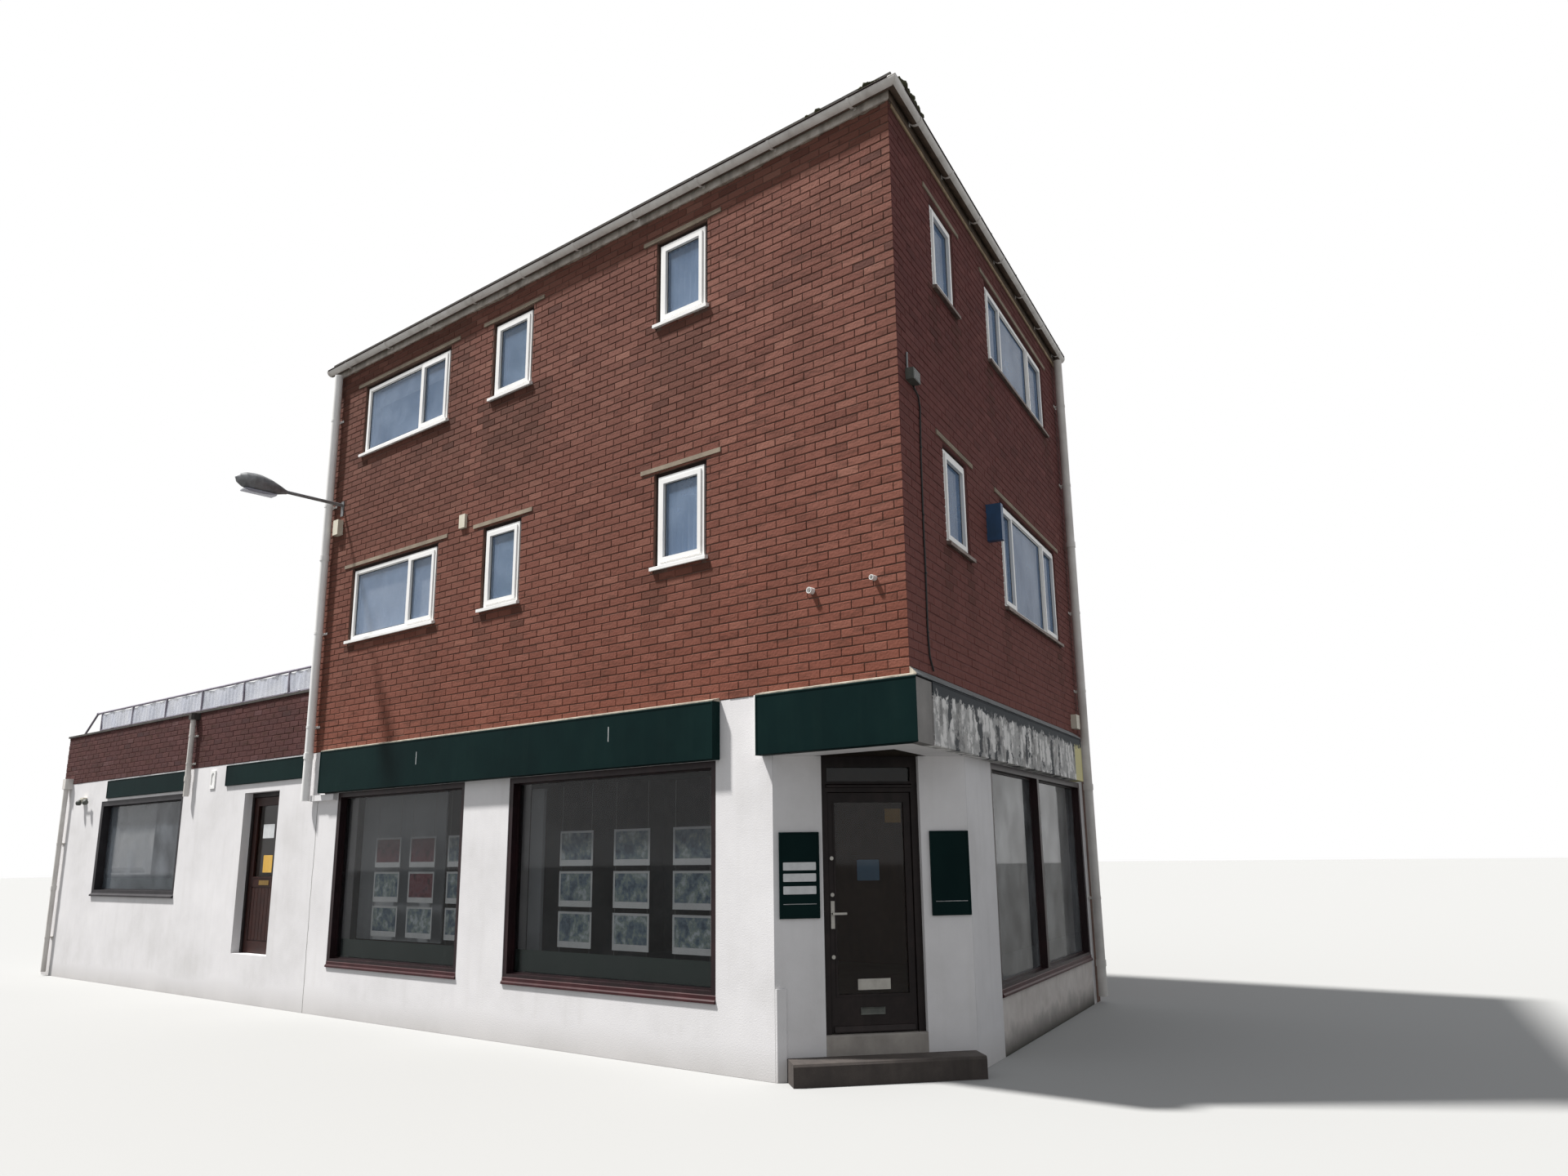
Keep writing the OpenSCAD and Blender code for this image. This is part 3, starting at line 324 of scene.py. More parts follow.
# struck mortar, cement and stone: dull and grainy, patched with damp, darkest where water runs
# painted light: this mortar is kept pale, near the shaded bricks' colour, so that the shade in its sunk joints
# hardly shows
SHADE_MATCHED_MORTAR = finish("shade_matched_lime_mortar", "#6d4846 #775250 #805c59", "#4c3735", 300, 4, 2, 0.95, 0.2)
MORTAR = finish("old_lime_mortar", "#58443d #665047 #745c51", "#33272a", 300, 4, 2, 0.95, 0.2)
OLD_MORTAR = finish("crumbled_eaves_mortar", "#5c4f45 #7a6c60 #a49789", "#3a302a", 70, 4, 2, 0.9, streak=0.6)
RENDER = painted_render()
MUDDY_RENDER = finish("mud_splashed_render", "#c6bfb9 #d3ccc7 #ddd7d2", "#26261f", 250, 12, 2.5, 0.9, 0.2,
                      0.15, low=0.5, splash=0.95)
CONCRETE = finish("trowelled_concrete", "#6f6c68 #7e7b76 #8c8984", "#4a4744", 600, 8, 2, 0.9)
# painted shade: the rooms' ceilings are mid grey so that the unlit rooms look dim
SHADE_GREYED_CEILING = finish("shade_greyed_ceiling", "#7f7c78 #8d8a85", "#5e5a55", 800, 10, 1, 0.9)
LINTEL = finish("cast_concrete_lintel", "#796d5f #8c7f6f #9e917f", "#544b40", 250, 6, 2, 0.9)
STEP = finish("worn_dark_stone", "#35302d #403a37 #4d4642", "#5f5750", 250, 6, 3, 0.85)
THRESHOLD = finish("pale_cast_threshold", "#8e8983 #9b958f #a8a29b", "#5e5954", 200, 6, 2, 0.85)
COPING = finish("dark_slate_coping", "#2d2a28 #3a3633 #49443f", "#5c5a48", 250, 8, 2, 0.85)
CAPPING = finish("lichened_capping", "#7c756a #a39c8e #bfb8aa", "#4f483e", 100, 10, 1, 0.8, streak=0.6)
# felt and moss on the roof: no gloss at all, and green-brown in patches
FELT = lapped_felt()
MOSS = finish("cushion_moss", "#2b2a1d #3d3e28 #525033", "#26221a", 30, 4, 8, 1.0)
# rubber and sealant: black and matt, greyed by dust in the creases
SEALANT = finish("perished_black_sealant", "#201917 #2b2220 #362c28", "#4a3d37", 100, 4, 1, 0.8, 0.15)
GASKET = finish("rubber_glazing_gasket", "#1b1b1c #29292a", "#3f3d3a", 200, 4, 0.3, 0.7)
# extruded and moulded plastic: smooth, even and half glossy, with dust washed down it in runs
# painted shade: the right street's sills are a brown-grey copy of the white plastic, darkened for the shade
# they stand in
SHADED_SILL = finish("shade_painted_sill", "#5f4f49 #75655d #938880", "#3b322e", 200, 10, 0.4, 0.6, streak=0.5)
PLASTIC = finish("extruded_white_plastic", "#e6e5e3 #efeeec #f4f3f2", "#b9b3a8", 500, 20, 0.2, 0.35, 0.5, 0.1)
GUTTER = finish("dusty_gutter_plastic", "#c4bfbb #d6d2cd #e2dfdb", "#857a6c", 350, 10, 0.5, 0.5, streak=0.4)
CREAM = finish("moulded_cream_plastic", "#cfc8b6 #dbd5c5", "#8c8269", 200, 6, 0.3, 0.5, streak=0.4)
BLUE_BOX = finish("moulded_blue_plastic", "#20415f #28507a", "#1a2b3c", 200, 6, 0.3, 0.45)
# painted and stained boards: brushed along, cracked and flaked at low edges, so that dark wood shows in runs
FASCIA = finish("peeling_white_gloss", "#a79c90 #c6beb5 #d8d2cb", "#5c5147", 120, 6, 2, 0.6, streak=0.7)
# brown on the right fascia, and painted shade on the wall-side half of each gutter
BROWN_FASCIA_AND_GUTTER_SHADE = finish("brown_fascia_and_painted_gutter_shade", "#43352b #544538 #655446", "#2b221b", 150, 6, 1, 0.75, 0.5, 0.6)
TAN_BOARD = finish("varnished_eaves_batten", "#84705a #9a8468 #ab977b", "#4f4234", 150, 6, 1, 0.7, streak=0.6)
# painted shade: the corner soffit is near black for the shade under the overhang
SHADE_PAINTED_SOFFIT = finish("shade_painted_soffit_board", "#1d1813 #26201a #302821", "#0f0c0a", 300, 6, 1, 0.85, 0.1)
SHOP_PAINT = finish("maroon_gloss_paint", "#190f11 #221417 #2e1a1d", "#4a3d3b", 300, 10, 0.4, 0.4, 0.25, 0.2)
RAIL_PAINT = finish("sunlit_maroon_paint", "#2c1215 #37181b #431f23", "#54403e", 300, 10, 0.4, 0.45, 0.25, 0.2)
DARK_DOOR = finish("dark_stained_hardwood", "#171212 #1f1919 #2a2221", "#3b3331", 150, 4, 0.6, 0.5, 0.2)
RED_DOOR = finish("varnished_softwood", "#220d0a #2b110c #351811", "#1b0d0a", 120, 3, 0.6, 0.5, 0.25, 0.4)
# enamelled and painted sheet: flat and even, dulled by traffic film
SIGN_GREEN = finish("green_enamelled_sheet", "#08191a #0b1f1f #102524", "#1e2e2b", 900, 20, 0.2, 0.5, 0.04,
                    0.15)
SIGN_OLD = chalky_sign()
RETURN_GREY = finish("grey_folded_sheet", "#5f5c5a #6c6967 #7a7774", "#484543", 300, 10, 0.4, 0.6)
# metals: bright and soft-edged in their reflections where they are handled, grey and mottled in the weather
STEEL = finish("brushed_stainless", "#8f8d88 #a5a39e", "#6f6b64", 100, 2, 0.2, 0.45, Metallic=1.0)
BRASS = finish("tarnished_brass", "#8a6e3c #a0824a", "#5a4a2e", 50, 2, 0.2, 0.45, Metallic=0.9)
LEAD = finish("weathered_lead", "#34373a #43474a #565a5e", "#7b7d7f", 200, 10, 1, 0.6)
DARK_FRAME = finish("grey_coated_aluminium", "#252326 #2d2b2e #383639", "#4c494a", 300, 10, 0.3, 0.5, 0.2)
RAIL = finish("flaking_grey_ironwork", "#7d7785 #8d8794 #9c97a2", "#5f5450", 100, 4, 0.8, 0.6, streak=0.5)
GALVANISED = finish("galvanised_steel", "#6a6c6d #7e8082 #939597", "#4f4c47", 80, 4, 0.4, 0.5, Metallic=0.35)
CAST_GREY = finish("painted_cast_aluminium", "#3d403f #4a4d48 #585b55", "#6c6a62", 80, 4, 0.4, 0.55)
# panes differ by what stands behind them and how much street dust they carry; the pale blue film on the upper
# and shaded panes is painted reflection of the sky as well as dust
UPPER_GLASS = clear_glass("upper_float_glass", "#6c84a3", 0.38, "#a9bbd0", 0.35)
SHADED_GLASS = clear_glass("shaded_float_glass", "#5c7ea8", 0.5, "#9db8d6", 0.4, 0.12)
SHOP_GLASS = clear_glass("shop_float_glass", "#0f1113", 0.34, "#6d7276", 0.08)
EXT_GLASS = clear_glass("extension_float_glass", "#474c53", 0.38, "#9aa3ac", 0.4)
# painted reflection: the side bays' pale film stands for the street reflected in them, as well as dust
SIDE_GLASS = clear_glass("reflection_and_dust_side_glass", "#4a4c4e", 0.5, "#a7abae", 0.55)
DOOR_GLASS = clear_glass("door_float_glass", "#1c120d", 0.42, "#5c4c42", 0.12)
SHEETING = clear_glass("clear_corrugated_sheet", "#a5a9b8", 0.4, "#cdd1de", 0.8)
# curtains and blinds, tinted by the daylight that falls on them
NET = cloth_finish("net_curtain_polyester", "#93a5bb", "#bccbdc")
GREEN_BLIND = cloth_finish("sage_blind_cloth", "#8aa09c", "#a3b6b0")
WHITE_BLIND = cloth_finish("white_blind_cloth", "#eceff1", "#f8f9fa")
PALE_BLIND = cloth_finish("pale_blind_cloth", "#c3c8cd", "#dcdfe1")
SLATE_BLIND = cloth_finish("slate_blind_cloth", "#8093a8", "#98a9bb")
# card, board and vinyl in the windows: nearly even colour under a thin gloss
CARD_INK = printed_card("printed_display_card", "#47596b #6f8496 #93a39d #c3d0da")
RED_CARD = printed_card("red_printed_card", "#47242f #733640 #7d4a55 #5c3a48")
CARD_PAPER = finish("white_card", "#d3d9dd #e4e8ea", "#b3bac0", 300, 10, 0.1, 0.3)
BAND_GREEN = finish("green_window_film", "#34423e #3c4c47", "#3d4a46", 300, 10, 0.1, 0.4)
NOTICE_BLUE = finish("blue_notice_card", "#74b2e2 #86c0ea", "#a5cdec", 50, 10, 0.1, 0.35)
NOTICE_YELLOW = finish("yellow_notice_card", "#c79a36 #d9ab44", "#e4c97e", 50, 10, 0.1, 0.35)
WHITE_BAR = finish("white_vinyl_bar", "#c5c7c8 #d6d8d9", "#9fa1a2", 50, 10, 0.1, 0.4)
PALE_PANEL = finish("pale_display_board", "#b5bbc0 #c8cdd1", "#969ca0", 500, 10, 0.3, 0.6)


# modelling tools
SHARP = math.radians(40)


def deselect():
    bpy.ops.object.select_all(action="DESELECT")


def only(piece):
    deselect()
    piece.select_set(True)
    bpy.context.view_layer.objects.active = piece


def settled(name):
    """The primitive just added, named, with its place worked into its mesh."""
    bpy.ops.object.transform_apply(location=True, rotation=True, scale=True)
    piece = bpy.context.object
    piece.name = name
    return piece


def modify(piece, kind, **settings):
    """Adds a modifier and applies it."""
    only(piece)
    modifier = piece.modifiers.new(kind.lower(), kind)
    for name, value in settings.items():
        setattr(modifier, name, value)
    bpy.ops.object.modifier_apply(modifier=modifier.name)


def block(name, x, y, z, edge=0.0, segments=2):
    """A block between the pairs of x, y and z, with its edges rounded over that width."""
    deselect()
    middle = [(a + b) / 2 for a, b in (x, y, z)]
    size = [b - a for a, b in (x, y, z)]
    bpy.ops.mesh.primitive_cube_add(size=1, location=middle, scale=size)
    piece = settled(name)
    if edge:
        modify(piece, "BEVEL", width=edge, segments=segments, limit_method="ANGLE", angle_limit=SHARP)
    return piece


def rod(name, start, end, radius, sides=12):
    """A round bar between two points."""
    start, end = Vector(start), Vector(end)
    deselect()
    bpy.ops.mesh.primitive_cylinder_add(vertices=sides, radius=radius, depth=(end - start).length,
                                        location=(start + end) / 2,
                                        rotation=(end - start).to_track_quat("Z", "Y").to_euler())
    return settled(name)


def grid(name, across, up, point):
    """A sheet of across by up faces. point(u, t) places it, with u along it and t up it from 0 to 1."""
    deselect()
    bpy.ops.mesh.primitive_grid_add(x_subdivisions=across, y_subdivisions=up, size=1)
    sheet = bpy.context.object
    sheet.name = name
    for v in sheet.data.vertices:
        v.co = point(v.co.x + 0.5, v.co.y + 0.5)
    return sheet


def edit():
    bpy.ops.object.mode_set(mode="EDIT")


def done():
    bpy.ops.object.mode_set(mode="OBJECT")


def clear(piece, kind):
    """Leaves nothing of a piece selected, ready for its faces, edges or corners to be selected in code."""
    only(piece)
    edit()
    bpy.ops.mesh.select_mode(type=kind)
    bpy.ops.mesh.select_all(action="DESELECT")
    done()


def pick(piece, chosen):
    """Enters edit mode with those faces selected that chosen(centre, normal) names."""
    clear(piece, "FACE")
    for face in piece.data.polygons:
        face.select = chosen(face.center, face.normal)
    edit()


def sink(piece, chosen, rim, move=(0, 0, 0)):
    """Insets the chosen faces behind a rim of that width, and moves them."""
    pick(piece, chosen)
    bpy.ops.mesh.inset(thickness=rim)
    bpy.ops.transform.translate(value=move)
    done()


def in_front(centre, normal):
    """Chooses the faces that look out of the wall."""
    return normal.y < -0.9


def joined(pieces, name):
    only(pieces[0])
    for piece in pieces:
        piece.select_set(True)
    if len(pieces) > 1:
        bpy.ops.object.join()
    piece = bpy.context.object
    piece.name = name
    return piece


def repeated(name, piece, moves):
    """The piece and, at each move, a copy of it with its own mesh, joined."""
    row = [piece]
    for move in moves:
        twin = piece.copy()
        twin.data = piece.data.copy()
        bpy.context.collection.objects.link(twin)
        twin.data.transform(Matrix.Translation(move))
        row.append(twin)
    return joined(row, name)


def seat(piece, wall, material=None, body="building"):
    """Puts a piece made in a wall's frame in its place, paints it and lets it ride on a body."""
    piece.data.transform(wall)
    piece.data.update()
    if material:
        piece.data.materials.clear()
        piece.data.materials.append(material)
    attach(piece, body)
    return piece


# brickwork
BRICK_L, COURSE, PROUD = 0.226, 0.07597, 0.006
BED_JOINT, UPRIGHT_JOINT = 0.010, 0.006
CUT_JOINT, SILL_HIGH = 0.002, 0.034
# a laid brick has no back: four corners at the back of its sides, and four on each side of its worn arris
BRICK_CORNERS = 12
LEFT_CLOUDS = [(-9.3, -6.0, 3.6, 8.4, 0.65), (-6.2, -2.2, 3.0, 8.2, 0.28), (-2.98, -2.05, 5.60, 6.90, 0.6),
               (-5.80, -4.55, 5.45, 6.90, 0.8), (-7.20, -6.15, 5.90, 6.88, 0.75)]


def rain_and_shade_marks(windows, clouds=()):
    """Soft dark marks as (from, to, foot, top, depth): rain runs under each sill's ends, painted shade under
    the eaves and at each window head under its lintel, and clouds.
    """
    # the first mark is painted shade under the eaves, where the gutter's shadow falls
    marks = [(-20.0, 20.0, 7.86, 8.2, 0.45)]
    for w in windows:
        for end in (w[0] + 0.02, w[1] - 0.02):
            marks.append((end - 0.10, end + 0.10, w[2] - 0.85, w[2] - 0.02, 0.8))
        # painted shade at each window head, under the lintel
        marks.append((w[0] - 0.16, w[1] + 0.16, w[3] - 0.04, w[3] + 0.02, 0.5))
    return marks + list(clouds)


def stain_and_shade_at(x, z, marks):
    """How dark rain and painted shade leave the brick at each x and z: darkest at a mark's top, faded towards
    its foot.
    """
    dark = np.zeros(len(x))
    for x0, x1, z0, z1, depth in marks:
        across = np.clip(np.minimum(x - x0, x1 - x) / 0.15 + 0.5, 0, 1)
        upright = np.clip((z - z0) / (z1 - z0), 0, 1) * (z < z1)
        dark = np.maximum(dark, depth * across * np.sqrt(upright))
    return dark


def one_brick():
    """The seen part of a brick: a face with worn arrises, standing in front of the mortar."""
    brick = block("brick", (UPRIGHT_JOINT / 2, BRICK_L - UPRIGHT_JOINT / 2), (-PROUD, 0.001),
                  (BED_JOINT / 2, COURSE - BED_JOINT / 2))
    pick(brick, lambda centre, normal: normal.y > 0.9)
    bpy.ops.mesh.delete(type="FACE")
    done()
    pick(brick, in_front)
    bpy.ops.mesh.bevel(offset=0.0035, segments=1, affect="EDGES")
    done()
    return brick


def bond(name, start, end, foot, head, first):
    """Whole bricks in stretcher bond over a wall face, every other course shifted by half a brick."""
    courses = math.ceil((head - foot) / COURSE)
    bricks = math.ceil((end - start) / BRICK_L) + 2
    fields = []
    for parity in (0, 1):
        field = one_brick()
        shift = BRICK_L * (0.5 if (parity + first) % 2 else 0.0)
        field.data.transform(Matrix.Translation((start - shift, 0, foot + parity * COURSE)))
        for count, step in ((bricks, (BRICK_L, 0, 0)), ((courses + 1 - parity) // 2, (0, 0, 2 * COURSE))):
            modify(field, "ARRAY", count=count, use_relative_offset=False, use_constant_offset=True,
                   constant_offset_displace=step)
        fields.append(field)
    return joined(fields, name)


def cut_at(openings, co, low, high):
    """Cuts the bricks back from openings given as (from, to, foot, head), and says which of them are gone."""
    gone = np.zeros(len(co), bool)
    for x0, x1, z0, z1 in openings:
        over_x = np.minimum(high[:, 0], x1) - np.maximum(low[:, 0], x0)
        over_z = np.minimum(high[:, 2], z1) - np.maximum(low[:, 2], z0)
        hit = (over_x > 0.001) & (over_z > 0.001)
        share_x = over_x / (high[:, 0] - low[:, 0])
        share_z = over_z / (high[:, 2] - low[:, 2])
        gone |= hit & (share_x > 0.93) & (share_z > 0.75)
        side = hit & ~gone & (share_z >= 0.3) & (share_x <= 0.93)
        left_cut = side & (low[:, 0] < x0)
        right_cut = side & ~left_cut
        co[left_cut, :, 0] = np.minimum(co[left_cut, :, 0], x0 - CUT_JOINT)
        co[right_cut, :, 0] = np.maximum(co[right_cut, :, 0], x1 + CUT_JOINT)
        level = hit & ~gone & ~side
        under = level & (low[:, 2] < z0)
        co[under, :, 2] = np.minimum(co[under, :, 2], z0 - CUT_JOINT)
        over = level & ~under
        co[over, :, 2] = np.maximum(co[over, :, 2], z1 + CUT_JOINT)
    return gone


def lay_bricks(name, wall, start, end, foot, head, windows, seed, turns, material, marks=(), first=0):
    """A brick wall face, cut at its windows and at its ends, where the wall turns by those angles."""
    field = bond(name, start, end, foot, head, first)
    co = np.empty(len(field.data.vertices) * 3)
    field.data.vertices.foreach_get("co", co)
    co = co.reshape(-1, BRICK_CORNERS, 3)
    low, high = co.min(axis=1), co.max(axis=1)
    gone = cut_at([(w[0], w[1], w[2] - SILL_HIGH, w[3]) for w in windows], co, low, high)
    gone |= (high[:, 0] < start + 0.02) | (low[:, 0] > end - 0.02) | (low[:, 2] > head - 0.01)
    reach = -co[:, :, 1]
    left_end = start - math.tan(turns[0] / 2) * reach
    right_end = end + math.tan(turns[1] / 2) * reach
    co[:, :, 0] = np.clip(co[:, :, 0], left_end, right_end)
    co[:, :, 2] = np.minimum(co[:, :, 2], head)
    # hand-laid bricks stand a millimetre in or out of line
    rng = np.random.RandomState(seed)
    front = co[:, :, 1] < -0.002
    co[:, :, 1] += front * rng.normal(0, 0.0009, len(co))[:, None]
    # worn and crooked edges: every corner is off by up to two millimetres
    co[:, :, 0] += rng.uniform(-0.0012, 0.0012, co.shape[:2])
    co[:, :, 2] += rng.uniform(-0.0018, 0.0018, co.shape[:2])
    tone = np.clip(rng.normal(0.48, 0.15, len(co)), 0, 1)
    centre = (low + high) / 2
    # each brick's share of rain stains and painted shade
    stain_and_shade = stain_and_shade_at(centre[:, 0], centre[:, 2], marks) * rng.uniform(0.6, 1.0, len(co))
    field.data.vertices.foreach_set("co", co.ravel())
    for label, values in (("rain_stain_and_shade", stain_and_shade), ("brick_tone", tone)):
        band = field.data.attributes.new(label, "FLOAT", "POINT")
        band.data.foreach_set("value", np.repeat(values, BRICK_CORNERS).astype(np.float32))
    clear(field, "VERT")
    field.data.vertices.foreach_set("select", np.repeat(gone, BRICK_CORNERS))
    edit()
    bpy.ops.mesh.delete(type="VERT")
    done()
    seat(field, wall, material)


def brickwork():
    high = BRICK_HEAD + 0.02
    lay_bricks("left_brickwork", LEFT, -LEFT_LEN, 0.0, BRICK_FOOT, BRICK_HEAD, LEFT_WINDOWS, 3,
               (SQUARE, TURN), LIT_BRICK, rain_and_shade_marks(LEFT_WINDOWS, LEFT_CLOUDS))
    lay_bricks("right_brickwork", RIGHT, 0.0, RIGHT_LEN, BRICK_FOOT, BRICK_HEAD, RIGHT_WINDOWS, 5,
               (TURN, math.pi - TURN), SHADED_BRICK, rain_and_shade_marks(RIGHT_WINDOWS), first=1)
    lay_bricks("west_brickwork", WEST, 0.0, DEPTH, 3.30, high, WEST_WINDOWS, 7, (SQUARE, SQUARE), LIT_BRICK,
               rain_and_shade_marks(WEST_WINDOWS))
    lay_bricks("rear_brickwork", REAR, -RIGHT_LEN * math.cos(TURN), LEFT_LEN, 0.0, high, [], 9,
               (math.pi - TURN, SQUARE), LIT_BRICK, rain_and_shade_marks([]))
    lay_bricks("parapet_brickwork", LEFT, -EXT_END, -LEFT_LEN, BRICK_FOOT, PARAPET_HEAD, [], 11, (0, 0),
               PARAPET_BRICK, first=1)
    lay_bricks("parapet_back_brickwork", PARAPET_BACK, LEFT_LEN, EXT_END - 0.005, 3.29, PARAPET_HEAD, [], 13,
               (0, 0), PARAPET_BRICK)


# windows
def lights(w):
    """The glass of each light of a window: (from, to, foot, head)."""
    edges = [w[0] + WIN_GAP + WIN_BAR / 2] + w[4] + [w[1] - WIN_GAP - WIN_BAR / 2]
    panes = []
    for start, end, opens in zip(edges, edges[1:], w[5]):
        deep = WIN_BAR + (SASH - 0.008 if opens else BEAD - 0.002)
        inset = deep - WIN_BAR / 2
        panes.append((start + inset, end - inset, w[2] + deep, w[3] - WIN_GAP - deep))
    return panes


def gasket(x0, x1, z0, z1, y):
    """The black rubber that grips a pane: a flat ring with a rounded lip."""
    ring = block("gasket", (x0 - 0.002, x1 + 0.002), (y - 0.004, y - 0.0005), (z0 - 0.002, z1 + 0.002))
    pick(ring, lambda centre, normal: abs(normal.y) > 0.9)
    bpy.ops.mesh.inset(thickness=0.009)
    bpy.ops.mesh.bridge_edge_loops()
    done()
    return ring


def gaskets():
    for side, wall, windows in WINDOW_WALLS:
        rings = [gasket(*pane, WIN_BACK + 0.024) for w in windows for pane in lights(w)]
        seat(joined(rings, side + "_gaskets"), wall, GASKET)


def hanging(name, wall, x, z, y, material, folds=1, swing=0.001):
    """A curtain or blind of real cloth in folds, as wide as it was cut."""
    def point(u, t):
        # folds open a little towards the hem
        wave = math.sin(u * folds * 2 * math.pi) + 0.25 * math.sin(u * folds * 3.3 * math.pi + 1)
        return x[0] + u * (x[1] - x[0]), y + swing * wave * (1.25 - 0.5 * t), z[0] + t * (z[1] - z[0])
    cloth = grid(name, max(2, folds * 8), 6, point)
    only(cloth)
    bpy.ops.object.shade_smooth()
    seat(cloth, wall, material)


# blinds by the number of their window, as (name, drop, depth in the room, cloth); the other windows have nets
BLINDS = {
    1: [("pale_blind", None, 0.088, WHITE_BLIND)],
    2: [("sage_blind", None, 0.15, GREEN_BLIND)],
    4: [("roller_blind", 0.20, 0.15, PALE_BLIND), ("slate_blind", None, 0.19, SLATE_BLIND)],
    5: [("sage_blind", None, 0.15, GREEN_BLIND)],
    10: [("slate_blind", None, 0.15, SLATE_BLIND)],
}


def curtains():
    every = [(wall, w) for side, wall, windows in WINDOW_WALLS for w in windows]
    for number, (wall, w) in enumerate(every, 1):
        inner = (w[0] + 0.08, w[1] - 0.08)
        foot, head = w[2] + 0.03, w[3] - 0.08
        for kind, drop, depth, cloth in BLINDS.get(number, []):
            hem = head - drop if drop else foot
            hanging("%s_%d" % (kind, number), wall, inner, (hem, head), depth, cloth)
        if number not in BLINDS:
            folds = max(5, round((w[1] - w[0]) / 0.1))
            hanging("net_curtain_%d" % number, wall, inner, (foot, head), 0.115, NET, folds, 0.018)
    hanging("extension_blind", LEFT, (-15.56, -13.86), (1.60, 2.70), 0.150, WHITE_BLIND)


# shop windows
CARD_HIGH, CARD_Y = 0.335, 0.15
WIRES = (-4.28, -3.84, -3.49, -3.05, -2.69, -2.26, -7.63, -7.17, -6.92, -6.48, -6.18, -5.88)


def card(x, z, wide, red=False):
    """A display card: a thin acrylic pocket with a sunk printed field and a blank strip under it."""
    pocket = block("card", (x - wide / 2, x + wide / 2), (CARD_Y, CARD_Y + 0.006),
                   (z - CARD_HIGH / 2, z + CARD_HIGH / 2))
    pocket.data.materials.append(CARD_PAPER)
    pocket.data.materials.append(RED_CARD if red else CARD_INK)
    sink(pocket, in_front, 0.022, (0, 0.0015, 0))
    for face in pocket.data.polygons:
        inside = in_front(face.center, face.normal) and face.area > 0.5 * wide * CARD_HIGH
        face.material_index = 1 if inside else 0
    # the blank strip: the sunk field stops short of the pocket's foot
    for v in pocket.data.vertices:
        if CARD_Y + 0.001 < v.co.y < CARD_Y + 0.002 and v.co.z < z:
            v.co.z += 0.035
    return pocket


def displays():
    rows = (1.84, 1.455, 1.075)
    cards = [card(x, z, 0.49) for x in (-4.06, -3.27, -2.475) for z in rows]
    seat(joined(cards, "display_cards_right_bay"), LEFT)
    columns = [(-7.40, 0.52, 1), (-6.70, 0.50, 2), (-6.03, 0.36, 0)]
    cards = [card(x, z, wide, row < reds) for x, wide, reds in columns for row, z in enumerate(rows)]
    seat(joined(cards, "display_cards_left_bay"), LEFT)
    wire = rod("wire", (WIRES[0], 0.153, 0.75), (WIRES[0], 0.153, 2.45), 0.002, 6)
    seat(repeated("display_wires", wire, [(x - WIRES[0], 0, 0) for x in WIRES[1:]]), LEFT, STEEL)
    boards = [block("display_board", (-8.22, -6.49), (0.30, 0.32), (0.85, 2.50), 0.004),
              block("display_upright", (-4.90, -4.70), (0.24, 0.28), (0.70, 2.45), 0.006)]
    seat(joined(boards, "display_boards"), LEFT, PALE_PANEL)


def film(name, wall, x, z, y, material, body="building"):
    """Cut film or card on a flat face, with rounded corners."""
    piece = block(name, x, (y, y + 0.0012), z)
    clear(piece, "EDGE")
    for edge in piece.data.edges:
        a, b = (piece.data.vertices[i].co for i in edge.vertices)
        edge.select = abs(a.y - b.y) > 0.0005
    edit()
    bpy.ops.mesh.bevel(offset=0.006, segments=3)
    done()
    seat(piece, wall, material, body)


def films():
    # just behind the shop's panes, the extension's, the two doors', and just in front of the entrance plates
    shop, extension, corner_door, side_door, plate = 0.0995, 0.1355, 0.1075, 0.1435, -0.0265
    film("green_band_left_bay", LEFT, (-8.20, -5.80), (0.665, 0.86), shop, BAND_GREEN)
    film("green_band_right_bay", LEFT, (-4.90, -2.11), (0.665, 0.87), shop, BAND_GREEN)
    film("green_band_side_bay_a", RIGHT, (2.22, 3.90), (0.62, 0.82), shop, BAND_GREEN)
    film("green_band_side_bay_b", RIGHT, (4.00, 5.94), (0.62, 0.82), shop, BAND_GREEN)
    film("green_band_extension", LEFT, (-15.54, -12.74), (1.39, 1.54), extension, BAND_GREEN)
    film("white_line_extension", LEFT, (-15.40, -14.10), (1.66, 1.70), extension, WHITE_BAR)
    film("blue_notice", SPLAY, (0.73, 0.922), (1.53, 1.70), corner_door, NOTICE_BLUE, "corner_door")
    film("yellow_notice", SPLAY, (0.985, 1.125), (2.005, 2.122), corner_door, NOTICE_YELLOW, "corner_door")
    for i, z in enumerate((1.655, 1.565, 1.465)):
        film("blank_bar_%d" % i, SPLAY, (0.075, 0.350), (z - 0.032, z + 0.032), plate, WHITE_BAR)
    for side, x in (("left", (0.075, 0.350)), ("right", (1.367, 1.645))):
        film("plate_rule_" + side, SPLAY, x, (1.352, 1.358), plate, WHITE_BAR)
    film("side_notice", LEFT, (-10.36, -10.12), (1.62, 1.84), side_door, NOTICE_YELLOW, "side_door")
    film("pale_side_notice", LEFT, (-10.43, -10.13), (2.06, 2.24), side_door, WHITE_BAR, "side_door")


# eaves and rainwater goods
GUTTER_Y, GUTTER_Z = -0.086, 8.254
CLIP_STEP = 0.93
PIPES = [
    ("left", LEFT, -8.96, 0.0525, (3.4, 4.6, 6.3, 7.5), PLASTIC),
    ("right", RIGHT, 6.14, 0.0525, (1.2, 3.7, 4.7, 6.4, 7.5), GUTTER),
    ("extension", LEFT, -12.4, 0.038, (3.15, 3.55), GUTTER),
    ("end", LEFT, -17.05, 0.038, (0.6, 2.1), GUTTER),
]
RAIL_POSTS = (-16.36, -15.10, -13.84, -12.60, -11.29, -10.01, -9.24)


